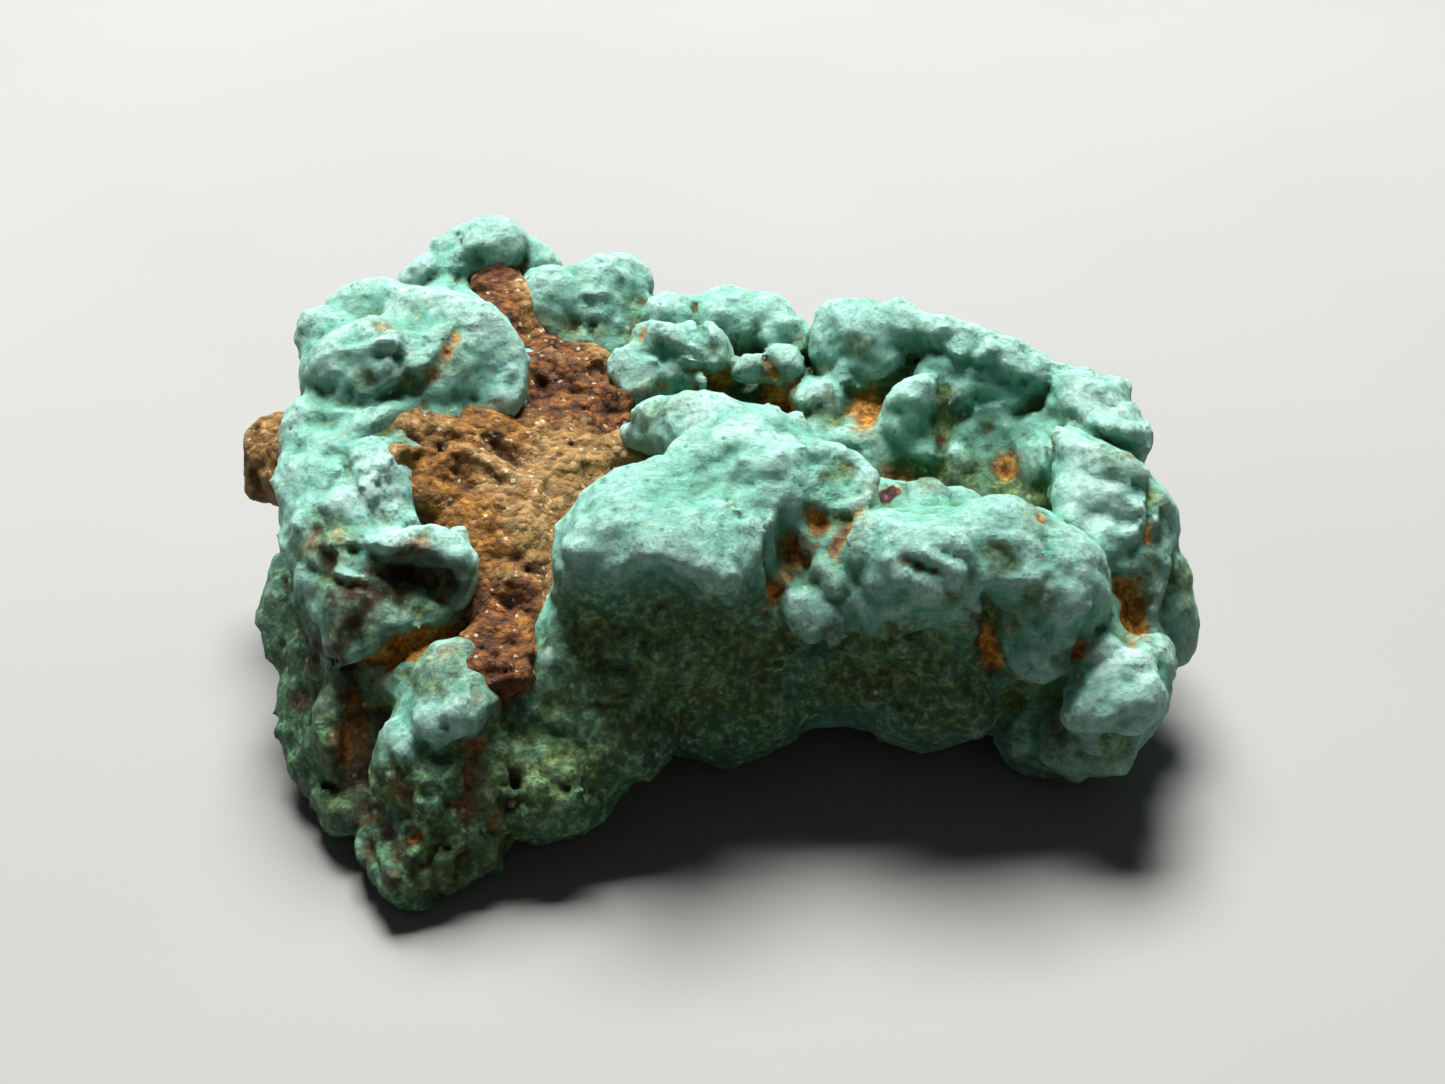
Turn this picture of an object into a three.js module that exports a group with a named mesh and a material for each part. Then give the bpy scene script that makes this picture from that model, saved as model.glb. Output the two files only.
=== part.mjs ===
import * as THREE from "three";

// A rough turquoise nugget, 28 mm long. The turquoise grew as a skin of rounded lobes over sandy
// brown host rock, which still shows in the basin between them. It is one solid piece of stone:
// every lobe, roll, pit and cleft below is fused with its neighbours into a single closed body.
// Millimetres, +Z up, +X along the length, the front toward -Y.

const CELL = 0.66;                 // size of the grid that the surface is traced on
const LOW = [-16.2, -12.0, -0.99]; // corner of that grid
const HIGH = [15.0, 12.6, 11.9];   // opposite corner
const CENTRE = [-0.33, 0.41];      // middle of the footprint, moved to the origin at the end
const EVEN_ROUNDS = 3;             // passes that even out the facets
const EVEN_SHARE = 0.5;            // how far each pass takes a vertex toward its neighbours' middle
const SURFACE_STEPS = 2;           // steps that bring a moved vertex back onto the surface
const JUST_INSIDE = -0.05 * CELL;  // the depth that a filled grid point is given
const SLOPE_STEP = 0.25 * CELL;    // how far apart the slope of the field is read
const GROUND_SNAP = 0.12 * CELL;   // a vertex this near the ground is set flat on it
const SOFTEN = 0.15;               // widens every seam, so that the grid can hold the clefts
const JOIN_HOST = 0.35;            // width of the seam where the host rock meets the turquoise
const FAR_AWAY = 10;               // the field where no feature has been added yet

// One feature of the surface. at: centre; half: half sizes; blend: how far its edge melts into
// the rest; turn: degrees about +Z. A pit or a cleft is taken away, a lobe or a roll is added.
const lobe = (at, half, blend, turn = 0) => ({ at, half, blend, turn: THREE.MathUtils.degToRad(turn) });
const pit = (at, half, blend, turn = 0) => ({ ...lobe(at, half, blend, turn), hollow: true });
// a chain of balls, each [x, y, z, radius], swept into one rounded roll
const roll = (beads, blend) => ({ beads, blend });
const cleft = (beads, blend) => ({ beads, blend, hollow: true });

// the body under the lobes
const core = [
  lobe([-7.4, 1.6, 3.8], [4.2, 5.6, 3.5], 1.6),
  lobe([-6.2, 6, 4.4], [3.9, 3.4, 3.6], 1.6),
  lobe([0.2, 1.4, 3.6], [7, 5, 3], 1.6),
  lobe([6.6, 0, 3.4], [5, 4.4, 2.9], 1.6),
  lobe([0, 5.6, 3.5], [6.4, 2.6, 3], 1.6),
  lobe([6, 3.4, 4.2], [4.8, 2.6, 3.4], 1.6),
  lobe([-9, 2.6, 6.6], [3.1, 2.9, 2.4], 0.8),
  lobe([-7.2, 7.2, 5], [2.9, 2.6, 3.4], 1),
  lobe([-7, 7.7, 6.8], [2.2, 1.8, 2], 0.8),
  lobe([-8.2, 6.8, 7.1], [1.9, 2.4, 1.8], 0.7),
  lobe([-4, 7.2, 4.7], [2.4, 2, 3.1], 0.8),
  lobe([-0.6, 6.6, 4.3], [3.4, 2, 3], 0.7),
  lobe([4.6, 5.5, 4.5], [3.2, 1.8, 3.2], 0.7),
  lobe([9.9, 2.4, 4.6], [2.4, 2.6, 3.2], 0.8),
  lobe([-5.2, 6, 2.6], [3.2, 2.4, 3], 1),
  lobe([4.8, 4.4, 2.6], [3.4, 2.2, 2.9], 1),
];

// the chain of lobes along the back rim, from the left
const backRim = [
  lobe([-7.4, 9.5, 9.2], [1.25, 1.1, 0.85], 0.35),
  lobe([-7.4, 9.7, 8.95], [0.95, 0.9, 0.7], 0.35),
  roll([[-8.05, 10, 9.1, 0.55], [-8.75, 9.6, 9.05, 0.6], [-9.05, 9.1, 8.75, 0.7]], 0.35),
  roll([[-6.7, 10.25, 8.75, 0.6], [-5.65, 10.35, 8.1, 0.6]], 0.4),
  lobe([-8.6, 9.7, 8.55], [0.9, 0.7, 0.7], 0.4),
  lobe([-8.8, 8.8, 8.6], [0.9, 0.8, 0.8], 0.5),
  lobe([-6.1, 10.1, 7.9], [0.8, 0.8, 0.9], 0.4),
  lobe([-5.2, 8.5, 7.9], [1.3, 1.2, 1.2], 0.3),
  lobe([-3.5, 8.8, 8.2], [1.25, 1.2, 1.2], 0.4),
  lobe([-4.9, 7.9, 7.5], [1.15, 0.9, 0.95], 0.4),
  lobe([-3.5, 8, 7.7], [1.1, 0.9, 0.95], 0.4),
  lobe([-2.5, 8.2, 7.4], [0.9, 0.8, 0.9], 0.4),
  lobe([-1.5, 7.8, 7.6], [1, 1, 1], 0.4),
  lobe([-0.1, 8.3, 7.7], [1.1, 1, 0.9], 0.4),
  lobe([1.1, 8, 7.4], [1.05, 1, 0.9], 0.4),
  lobe([2, 7.2, 7.2], [0.8, 0.8, 1], 0.4),
  lobe([2.4, 7.1, 6.7], [0.8, 0.8, 0.9], 0.4),
  lobe([-1.7, 6, 7.5], [1, 0.9, 1], 0.4),
  lobe([-0.5, 6.3, 7.7], [0.9, 0.8, 0.9], 0.4),
  lobe([1.7, 5.4, 7.25], [0.7, 0.8, 1], 0.3),
  lobe([-2.45, 5, 7.05], [0.75, 0.6, 0.65], 0.3),
  lobe([-2.9, 5.4, 7.45], [0.7, 0.6, 0.6], 0.3),
  lobe([4.1, 5.9, 7.7], [1.5, 1.4, 1.5], 0.35),
  lobe([2.55, 4.45, 7.2], [0.75, 0.65, 0.6], 0.2),
  lobe([3.6, 4.7, 6.3], [1, 0.8, 0.8], 0.3),
  lobe([5.1, 6.2, 8.3], [1.2, 0.9, 0.9], 0.4),
  lobe([5.7, 4.55, 7.35], [0.8, 0.7, 0.8], 0.4),
  lobe([5.5, 3.2, 7.15], [0.8, 0.75, 1.4], 0.3),
  lobe([7.6, 4, 7.3], [2.1, 1.25, 2.1], 0.4, -12),
  roll([
    [5.35, 5.45, 8.85, 0.6], [6.4, 4.8, 8.85, 0.55], [7.45, 4.05, 8.85, 0.5], [8.9, 3.2, 8.6, 0.55],
  ], 0.4),
  lobe([8.1, 3.1, 6.6], [1.4, 0.9, 1.1], 0.4),
  lobe([7.5, 3.5, 7.4], [1.4, 0.9, 0.9], 0.4),
  lobe([8.9, 3.75, 7.5], [0.8, 0.7, 0.9], 0.5),
];

// two rows of lobes down the back
const backFace = [
  lobe([-10.1, 2.2, 2.4], [1.4, 1.8, 1.6], 0.4),
  lobe([-9.1, 5.3, 2.2], [1.7, 1.6, 1.6], 0.35),
  lobe([-6.9, 7.7, 2.6], [1.8, 1.7, 1.7], 0.35),
  lobe([-3.6, 7.5, 2], [1.7, 1.5, 1.4], 0.35),
  lobe([-0.6, 7.2, 2.4], [1.6, 1.5, 1.5], 0.3),
  lobe([1.9, 6.5, 2.1], [1.4, 1.6, 1.5], 0.35),
  lobe([4.5, 6.1, 2.4], [1.7, 1.6, 1.5], 0.35),
  lobe([7.1, 4.8, 2.2], [1.6, 1.6, 1.4], 0.3),
  lobe([10.4, 2.6, 2.4], [1.7, 1.5, 1.7], 0.35),
  lobe([-9.2, 7.1, 5.2], [1.6, 1.6, 1.5], 0.35),
  lobe([-5.6, 8.5, 5.4], [1.6, 1.6, 1.5], 0.3),
  lobe([-2.2, 7.5, 5.2], [1.5, 1.4, 1.4], 0.35),
  lobe([0.8, 7.6, 4.9], [1.7, 1.4, 1.5], 0.3),
  lobe([3, 6.8, 5.3], [1.3, 1.4, 1.3], 0.35),
  lobe([6.3, 6, 5.2], [1.7, 1.6, 1.6], 0.35),
  lobe([9.6, 4.2, 5], [1.6, 1.6, 1.5], 0.35),
  lobe([11.3, 1.2, 5], [1.5, 1.6, 1.6], 0.35),
  lobe([-3.4, 7.8, 7], [1.4, 1.1, 1.1], 0.4),
  lobe([6.8, 5.2, 7.3], [1.5, 1, 1.1], 0.4),
];

// the two blunt lobes that close the right end and the fold under them
const rightEnd = [
  lobe([10.6, 2.9, 7.9], [1.25, 1.1, 0.95], 0.3),
  lobe([11.7, 2.2, 7.25], [0.75, 0.8, 0.7], 0.3),
  lobe([9.95, 3.2, 8.5], [0.7, 0.7, 0.6], 0.3),
  lobe([11.2, 1.6, 7.5], [1.2, 1, 1], 0.5),
  lobe([9.9, 0.3, 7.1], [1.15, 1.2, 1.2], 0.3),
  lobe([10.8, -0.7, 6.4], [1.3, 1.4, 1.5], 0.35),
  lobe([10.3, -0.5, 7.1], [1.3, 1.4, 1.15], 0.4),
  lobe([10.6, -1.6, 6.4], [1.4, 1.3, 1], 0.5),
  lobe([11.95, -1, 5.55], [0.65, 1.2, 1.5], 0.3),
  lobe([11.4, -2.1, 5.4], [1, 1.3, 1.3], 0.3),
  lobe([12.6, -1.4, 3.6], [0.9, 1.4, 1.7], 0.4),
  cleft([[3.85, 1.7, 7.25, 0.8], [5.75, 0.6, 7, 1], [7.85, -0.8, 7.05, 0.7]], 0.7),
];

// the big smooth lobe along the front and the plate behind it
const ridge = [
  lobe([-1.1, -3.6, 6.6], [3.6, 2.5, 2.8], 0.7, 28),
  lobe([-0.5, -3.4, 4.1], [4.2, 2.4, 2.9], 0.9, 12),
  lobe([0.6, -1.6, 7.8], [2.7, 1.8, 1.9], 0.5, 22),
  lobe([0.4, -0.1, 8.7], [2.2, 1.5, 1.1], 0.35, -10),
  lobe([-1.1, 0.9, 8.3], [1.2, 1, 0.9], 0.25),
  lobe([-0.8, -0.2, 8.25], [1.1, 0.9, 0.7], 0.5),
  roll([
    [-3.2, -3.5, 7.6, 1], [-2.25, -3, 8.5, 1.05], [-1.05, -2.1, 8.5, 1.05], [0.35, -1.8, 8.55, 1],
    [1.5, -1.85, 8.75, 0.9],
  ], 0.45),
  lobe([0.5, -3.5, 7.6], [1.1, 1.2, 1], 0.4),
  lobe([-1.2, -4.4, 7.9], [2.4, 1.6, 1.35], 0.5, 10),
  lobe([-2.6, -3.3, 8.2], [1.1, 1, 1.1], 0.5),
  roll([
    [-3.1, -4.95, 7.75, 0.7], [-1.9, -5.4, 7.9, 0.8], [-0.8, -5.2, 7.9, 0.8], [0.55, -4.4, 7.6, 0.75],
  ], 0.9),
  lobe([-0.6, -3.7, 2.7], [3.8, 2.1, 1.9], 0.6),
  cleft([[-3.4, -8.35, 6.35, 2.6], [-1.35, -8.45, 6.65, 2.9], [0.7, -8.1, 6.2, 2.6]], 0.25),
];

// the curled lobe at the right of the ridge and the knobs in the notch below it
const notch = [
  lobe([1.6, -2.9, 8.1], [1.1, 1, 0.9], 0.5),
  lobe([2.3, -2.65, 8.45], [0.8, 0.7, 0.6], 0.4),
  lobe([2.8, -2.35, 8.45], [0.95, 0.8, 0.75], 0.25),
  lobe([2.15, -1.7, 8.65], [0.9, 0.7, 0.75], 0.35),
  lobe([1.9, -1.85, 8.2], [0.7, 0.6, 0.8], 0.35),
  lobe([4.35, -1.7, 7.6], [0.9, 0.8, 0.65], 0.3),
  lobe([2.05, -1.9, 7.7], [0.7, 0.7, 0.8], 0.3),
  lobe([2.7, -3.2, 6.9], [1.4, 1.2, 1.1], 0.5),
  lobe([3.5, -2.9, 7.4], [0.9, 0.8, 0.8], 0.4),
  lobe([2.5, -3.6, 5.8], [1.1, 0.9, 0.9], 0.4),
];

// the broad lobe at the front right and the foot under it
const frontRight = [
  lobe([5.3, -3, 5.7], [3, 2.5, 2.6], 0.6),
  lobe([5.5, -4.2, 7.7], [1.9, 1.5, 1.3], 0.4),
  lobe([7.2, -4.1, 7.7], [1.6, 1.4, 1.1], 0.35),
  lobe([8.4, -3, 5.2], [2.4, 2.3, 2.6], 0.5),
  lobe([9, -3.9, 6.8], [1.2, 1.3, 1.3], 0.6),
  lobe([5.6, -4.8, 6.9], [1.9, 0.9, 0.9], 0.6),
  lobe([7.8, -4.1, 7], [1.4, 1.1, 1.2], 0.6),
  lobe([7.8, -4.6, 6.4], [1.3, 0.9, 1.1], 0.6),
  lobe([9.5, -3.8, 6.5], [0.85, 0.9, 1.1], 0.5),
  lobe([8.5, -4.8, 5.2], [1, 0.8, 1.1], 0.5),
  lobe([5.2, -2.6, 3.1], [4.4, 2.4, 2.5], 0.8),
  lobe([5.6, -4, 3], [2.2, 1.4, 1.6], 0.6),
  lobe([10.1, -2.9, 2.7], [2.3, 2.3, 2.9], 0.5),
  lobe([10.1, -5.2, 4.4], [1, 0.9, 0.9], 0.4),
  lobe([11.3, -4.6, 4.4], [0.8, 0.9, 0.85], 0.45),
  lobe([10.6, -6.1, 4], [1.4, 1.1, 0.9], 0.5),
  lobe([10.1, -5.5, 2.3], [1.4, 1.1, 1.2], 0.8),
  lobe([9.3, -4.1, 1.5], [1.7, 1.3, 1.7], 0.5),
  pit([11.4, -3.9, 5.5], [0.7, 0.6, 0.8], 0.3),
];

// the foot at the front left
const frontFoot = [
  lobe([-6.9, -5.6, 3], [2, 2.3, 2.7], 0.7),
  lobe([-4.4, -4.7, 3.2], [2.8, 2.2, 2.5], 0.9),
  lobe([-7.2, -7.7, 1.8], [1.7, 1.6, 2.2], 0.5),
  lobe([-5.1, -7.2, 2], [2, 1.3, 1.5], 0.6),
  lobe([-2.9, -6.3, 2.7], [1.8, 1.3, 1.2], 0.7),
  lobe([-7.9, -9.2, 1], [1.1, 1, 1.2], 0.5),
  lobe([-7, -6.5, 3.6], [1.2, 0.8, 0.6], 0.5),
];

// the curled lobe at the top left
const leftTop = [
  lobe([-9.1, 3.7, 8.6], [2.7, 2.2, 1.6], 0.5),
  lobe([-11.1, 4.4, 8.8], [1.3, 1.3, 1.2], 0.4),
  roll([
    [-10.8, 5.7, 9.15, 0.85], [-9.5, 5.45, 9.55, 0.9], [-8.45, 4.8, 9.4, 1], [-7.4, 4.1, 9.25, 1.05],
    [-6.75, 3.6, 8.5, 1.05], [-6.5, 2.95, 7.95, 1], [-7, 2.45, 7.5, 0.8],
  ], 0.3),
  lobe([-10.7, 3.1, 8.7], [1.5, 1.4, 1.3], 0.25),
  lobe([-9.7, 3.1, 9.6], [1, 1, 0.9], 0.3),
  lobe([-8.5, 3.4, 9.4], [0.8, 0.8, 0.85], 0.2),
  lobe([-9.4, 2.9, 8.4], [1, 0.7, 0.8], 0.3),
];

// the lip under that lobe, the left shoulder, the torn tongue and the low left rim
const leftSide = [
  roll([
    [-11.65, 0.95, 8.1, 0.6], [-11.1, 1.6, 8.2, 0.55], [-10.15, 2.3, 7.9, 0.5], [-9, 2.55, 7.9, 0.5],
    [-8.2, 3.3, 8, 0.5],
  ], 0.25),
  roll([
    [-11.45, 1.3, 7.85, 0.9], [-11.5, -0.4, 7.25, 1.1], [-10.7, -1.9, 6.65, 1.1],
    [-10, -2.95, 5.95, 1.1],
  ], 0.4),
  lobe([-9.9, 0, 6.2], [1.7, 2.9, 2.6], 0.7),
  lobe([-10, -1.6, 5.2], [1.6, 2.6, 2.9], 0.6),
  lobe([-9.7, -3.6, 4], [1.8, 2.2, 3], 0.6),
  lobe([-9.9, -5, 2], [1.2, 1.7, 2.1], 0.5),
  lobe([-10.4, -6.85, 1.1], [0.6, 0.6, 0.6], 0.35),
  lobe([-10.2, -5.6, 3], [0.8, 1, 1.2], 0.4),
  roll([
    [-12.15, 0.1, 4.2, 0.8], [-12.05, -2.5, 2.8, 0.8], [-11.6, -4.4, 1.9, 0.7], [-10.9, -5.45, 1.1, 0.6],
  ], 0.9),
  roll([[-9.15, -3.15, 7.1, 0.6], [-8.15, -3.4, 7.15, 0.65], [-7.2, -3.5, 7.1, 0.55]], 0.3),
  lobe([-8.6, -3.3, 5.4], [1.8, 1, 1], 0.4),
  lobe([-9, -2.3, 7.05], [0.9, 0.7, 0.6], 0.35),
  lobe([-9.6, -6.6, 1.1], [0.9, 0.9, 1], 0.3),
  lobe([-9.3, -8.15, 1], [0.7, 0.7, 0.8], 0.3),
];

// the sandy host rock: the basin between the lobes, the seam up to the back rim, the block at the left
const matrix = [
  lobe([-5.6, 1, 5], [3.6, 4.4, 2.6], 0.6),
  lobe([-5, -3, 4.1], [2.4, 2.6, 1.7], 0.8),
  lobe([-4.8, 4.9, 5.6], [2.5, 2.6, 2], 0.8),
  lobe([-3.5, 3.8, 5.2], [1.7, 1.9, 1.6], 0.6),
  lobe([-6.4, 7.2, 6.6], [1, 1.8, 2], 0.6),
  lobe([-7.55, 9.45, 8.15], [1, 0.9, 0.7], 0.5),
  lobe([-6.9, 8.3, 8.45], [0.9, 0.8, 0.7], 0.5),
  lobe([-6.3, 7.7, 8.2], [0.8, 0.8, 0.7], 0.5),
  lobe([-5.9, 7.3, 7.75], [0.8, 0.8, 0.7], 0.5),
  lobe([-5.35, 6.7, 7.6], [0.8, 0.7, 0.6], 0.4),
  lobe([-5.55, 5.25, 7.55], [1.1, 1, 0.6], 0.4),
  lobe([-4.25, 6.1, 7.2], [1, 0.8, 0.6], 0.4),
  lobe([-6, 2.45, 7.2], [1.1, 0.9, 0.6], 0.4),
  lobe([-7.35, 0.6, 7.35], [1.2, 0.9, 0.6], 0.4),
  lobe([-8.65, -0.4, 7.25], [1, 1, 0.6], 0.4, -30),
  lobe([-6.7, 2.2, 7.65], [0.9, 0.7, 0.6], 0.5),
  lobe([-6.1, 4.7, 7.2], [0.8, 0.7, 0.6], 0.3),
  lobe([-2.2, 1.35, 7], [1, 0.8, 0.6], 0.5),
  lobe([-7.7, -2, 5.6], [0.9, 0.7, 0.8], 0.3),
  lobe([-7.7, -0.9, 6.45], [1.2, 1, 0.6], 0.4),
  lobe([-6.05, -3.15, 5.7], [0.95, 1, 0.65], 0.4),
  lobe([-6.1, -4.9, 5.35], [1.1, 0.9, 0.65], 0.4),
  lobe([-5.75, -6.3, 5], [0.6, 0.6, 0.6], 0.4),
  lobe([-9, 3, 5.2], [2.6, 1.5, 1.3], 0.5),
  lobe([-11.3, 3.7, 5.2], [2, 1.5, 1.45], 0.3),
  lobe([-12.5, 4.1, 4.6], [1.15, 1.2, 1.2], 0.3),
  lobe([-13.2, 4.3, 5.1], [0.8, 0.8, 0.9], 0.3),
];

const TURQUOISE = [
  core, backRim, backFace, rightEnd, ridge, notch, frontRight, frontFoot, leftTop, leftSide,
].flat();

// Rough signed distance from a point to one feature, negative inside it.
function distanceTo(feature, x, y, z) {
  if (feature.beads) return distanceToBeads(feature.beads, x, y, z);
  const [a, b, c] = feature.half;
  const cos = Math.cos(feature.turn);
  const sin = Math.sin(feature.turn);
  const dx = x - feature.at[0];
  const dy = y - feature.at[1];
  const px = (cos * dx + sin * dy) / a;
  const py = (cos * dy - sin * dx) / b;
  const pz = (z - feature.at[2]) / c;
  const k0 = Math.hypot(px, py, pz) + 1e-9;
  const k1 = Math.hypot(px / a, py / b, pz / c) + 1e-9;
  return k0 * (k0 - 1) / k1;
}

function distanceToBeads(beads, x, y, z) {
  let best = Infinity;
  for (let i = 0; i + 1 < beads.length; i++) {
    const [ax, ay, az, ar] = beads[i];
    const [bx, by, bz, br] = beads[i + 1];
    const [ux, uy, uz] = [bx - ax, by - ay, bz - az];
    const along = (x - ax) * ux + (y - ay) * uy + (z - az) * uz;
    const t = THREE.MathUtils.clamp(along / (ux * ux + uy * uy + uz * uz), 0, 1);
    const away = Math.hypot(x - ax - t * ux, y - ay - t * uy, z - az - t * uz);
    best = Math.min(best, away - ar - t * (br - ar));
  }
  return best;
}

// Smooth minimum: two surfaces melt together over the width k.
function melt(f, d, k) {
  const h = THREE.MathUtils.clamp(0.5 + 0.5 * (f - d) / k, 0, 1);
  return f * (1 - h) + d * h - k * h * (1 - h);
}

function fuse(features, x, y, z) {
  let f = FAR_AWAY;
  for (const feature of features) {
    const d = distanceTo(feature, x, y, z);
    const blend = feature.blend + SOFTEN;
    f = feature.hollow ? -melt(-f, d, blend) : melt(f, d, blend);
  }
  return f;
}

// The stone as a field, negative inside. Slow waves bend space a little, so that no lobe is a
// perfect ellipsoid.
function stone(x, y, z) {
  const wx = x + 0.20 * Math.sin(1.1 * y + 0.7 * z + 0.4) + 0.08 * Math.sin(2.3 * z - 1.7 * y + 1.0);
  const wy = y + 0.20 * Math.sin(1.2 * x - 0.8 * z + 1.9) + 0.08 * Math.sin(2.1 * x + 1.9 * z);
  const wz = z + 0.16 * Math.sin(1.0 * x + 1.1 * y + 0.3) + 0.08 * Math.sin(2.2 * y - 2.0 * x + 2.0);
  return melt(fuse(TURQUOISE, wx, wy, wz), fuse(matrix, wx, wy, wz), JOIN_HOST);
}

// Where four neighbouring grid points are inside and outside by turns, two lobes meet across a
// gap too narrow for the grid. The shallower of the two outside points is filled in.
function fillNarrowGaps(value, step) {
  let filled = true;
  while (filled) {
    filled = false;
    for (const [u, v] of [[step[0], step[1]], [step[1], step[2]], [step[2], step[0]]]) {
      for (let here = 0; here + u + v < value.length; here++) {
        const face = [here, here + u, here + u + v, here + v];
        const inside = face.map((at) => value[at] < 0);
        if (inside[0] !== inside[2] || inside[1] !== inside[3] || inside[0] === inside[1]) continue;
        const outside = face.filter((at) => value[at] >= 0);
        outside.sort((a, b) => value[a] - value[b]);
        value[outside[0]] = JUST_INSIDE;
        filled = true;
      }
    }
  }
}

// An outside point that the open air can't reach is a sealed pocket between lobes: solid stone.
function fillPockets(value, step) {
  const reached = new Uint8Array(value.length);
  const next = [0];
  reached[0] = 1;
  while (next.length) {
    const here = next.pop();
    for (const by of step) {
      for (const there of [here - by, here + by]) {
        if (there < 0 || there >= value.length || reached[there] || value[there] < 0) continue;
        reached[there] = 1;
        next.push(there);
      }
    }
  }
  value.forEach((f, at) => {
    if (f >= 0 && !reached[at]) value[at] = JUST_INSIDE;
  });
}

// Naive surface nets: one vertex in each grid cell that the surface passes through, and a quad
// round each grid edge that it crosses.
function traceSurface(field) {
  const n = [0, 1, 2].map((i) => Math.ceil((HIGH[i] - LOW[i]) / CELL) + 1);
  const index = (i, j, k) => (i * n[1] + j) * n[2] + k;
  const value = new Float64Array(n[0] * n[1] * n[2]);
  const eachPoint = (visit) => {
    for (let i = 0; i < n[0]; i++) {
      for (let j = 0; j < n[1]; j++) {
        for (let k = 0; k < n[2]; k++) visit(i, j, k);
      }
    }
  };
  eachPoint((i, j, k) => {
    value[index(i, j, k)] = field(LOW[0] + i * CELL, LOW[1] + j * CELL, LOW[2] + k * CELL);
  });

  const step = [index(1, 0, 0), index(0, 1, 0), index(0, 0, 1)];
  fillNarrowGaps(value, step);
  fillPockets(value, step);

  const points = [];
  const homes = [];
  const cell = new Int32Array(value.length).fill(-1);
  eachPoint((i, j, k) => {
    if (i + 1 >= n[0] || j + 1 >= n[1] || k + 1 >= n[2]) return;
    const sum = new THREE.Vector3();
    let crossings = 0;
    for (let corner = 0; corner < 8; corner++) {
      const at = [corner & 1, (corner >> 1) & 1, corner >> 2];
      const from = value[index(i + at[0], j + at[1], k + at[2])];
      for (let axis = 0; axis < 3; axis++) {
        if (at[axis]) continue;
        const to = value[index(i + at[0], j + at[1], k + at[2]) + step[axis]];
        if (from < 0 === to < 0) continue;
        const p = new THREE.Vector3(...at);
        p.setComponent(axis, from / (from - to));
        sum.add(p);
        crossings++;
      }
    }
    if (!crossings) return;
    cell[index(i, j, k)] = points.length;
    const home = new THREE.Vector3(i, j, k).multiplyScalar(CELL).add(new THREE.Vector3(...LOW));
    homes.push(home);
    points.push(sum.multiplyScalar(CELL / crossings).add(home));
  });

  const quads = [];
  eachPoint((i, j, k) => {
    const here = index(i, j, k);
    for (let axis = 0; axis < 3; axis++) {
      if ([i, j, k][axis] + 1 >= n[axis]) continue;
      const inside = value[here] < 0;
      if (inside === value[here + step[axis]] < 0) continue;
      const u = step[(axis + 1) % 3];
      const v = step[(axis + 2) % 3];
      const quad = [cell[here - u - v], cell[here - v], cell[here], cell[here - u]];
      quads.push(inside ? quad : quad.reverse());
    }
  });
  return { points, homes, quads };
}

// Slide each vertex toward the middle of its neighbours, then back onto the surface. It never
// leaves the grid cell it was born in, so the surface can't cross itself.
function evenOut(points, homes, quads, field) {
  const sum = points.map(() => new THREE.Vector3());
  const count = new Float64Array(points.length);
  for (const quad of quads) {
    quad.forEach((a, corner) => {
      const b = quad[(corner + 1) % 4];
      sum[a].add(points[b]);
      sum[b].add(points[a]);
      count[a]++;
      count[b]++;
    });
  }
  points.forEach((p, i) => {
    p.lerp(sum[i].divideScalar(count[i]), EVEN_SHARE);
    for (let round = 0; round < SURFACE_STEPS; round++) {
      const slope = new THREE.Vector3(
        field(p.x + SLOPE_STEP, p.y, p.z) - field(p.x - SLOPE_STEP, p.y, p.z),
        field(p.x, p.y + SLOPE_STEP, p.z) - field(p.x, p.y - SLOPE_STEP, p.z),
        field(p.x, p.y, p.z + SLOPE_STEP) - field(p.x, p.y, p.z - SLOPE_STEP),
      ).divideScalar(2 * SLOPE_STEP);
      const length = slope.length() + 1e-3;
      const move = THREE.MathUtils.clamp(field(p.x, p.y, p.z) / length, -CELL, CELL);
      p.addScaledVector(slope, -move / length);
      p.clamp(homes[i], homes[i].clone().addScalar(CELL));
    }
  });
}

// The ground face: what would reach below z = 0 is flat there, and those patches are its feet.
const grounded = (x, y, z) => Math.max(stone(x, y, z), -z);
const { points, homes, quads } = traceSurface(grounded);
for (let round = 0; round < EVEN_ROUNDS; round++) evenOut(points, homes, quads, grounded);
for (const p of points) {
  if (p.z < GROUND_SNAP) p.z = 0;
}

// each quad becomes two triangles along its shorter diagonal
const triangles = quads.flatMap(([a, b, c, d]) => (
  points[a].distanceTo(points[c]) < points[b].distanceTo(points[d])
    ? [a, b, c, a, c, d]
    : [a, b, d, b, c, d]));

const geometry = new THREE.BufferGeometry();
geometry.setAttribute("position", new THREE.Float32BufferAttribute(points.flatMap((p) => p.toArray()), 3));
geometry.setIndex(triangles);
geometry.translate(-CENTRE[0], -CENTRE[1], 0);
geometry.computeVertexNormals();

const turquoise = new THREE.MeshStandardMaterial({ color: 0x6fae9c, roughness: 0.62, metalness: 0 });
const nugget = new THREE.Mesh(geometry, turquoise);
nugget.name = "turquoise_nugget";

const group = new THREE.Group();
group.add(nugget);

export default group;
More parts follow.
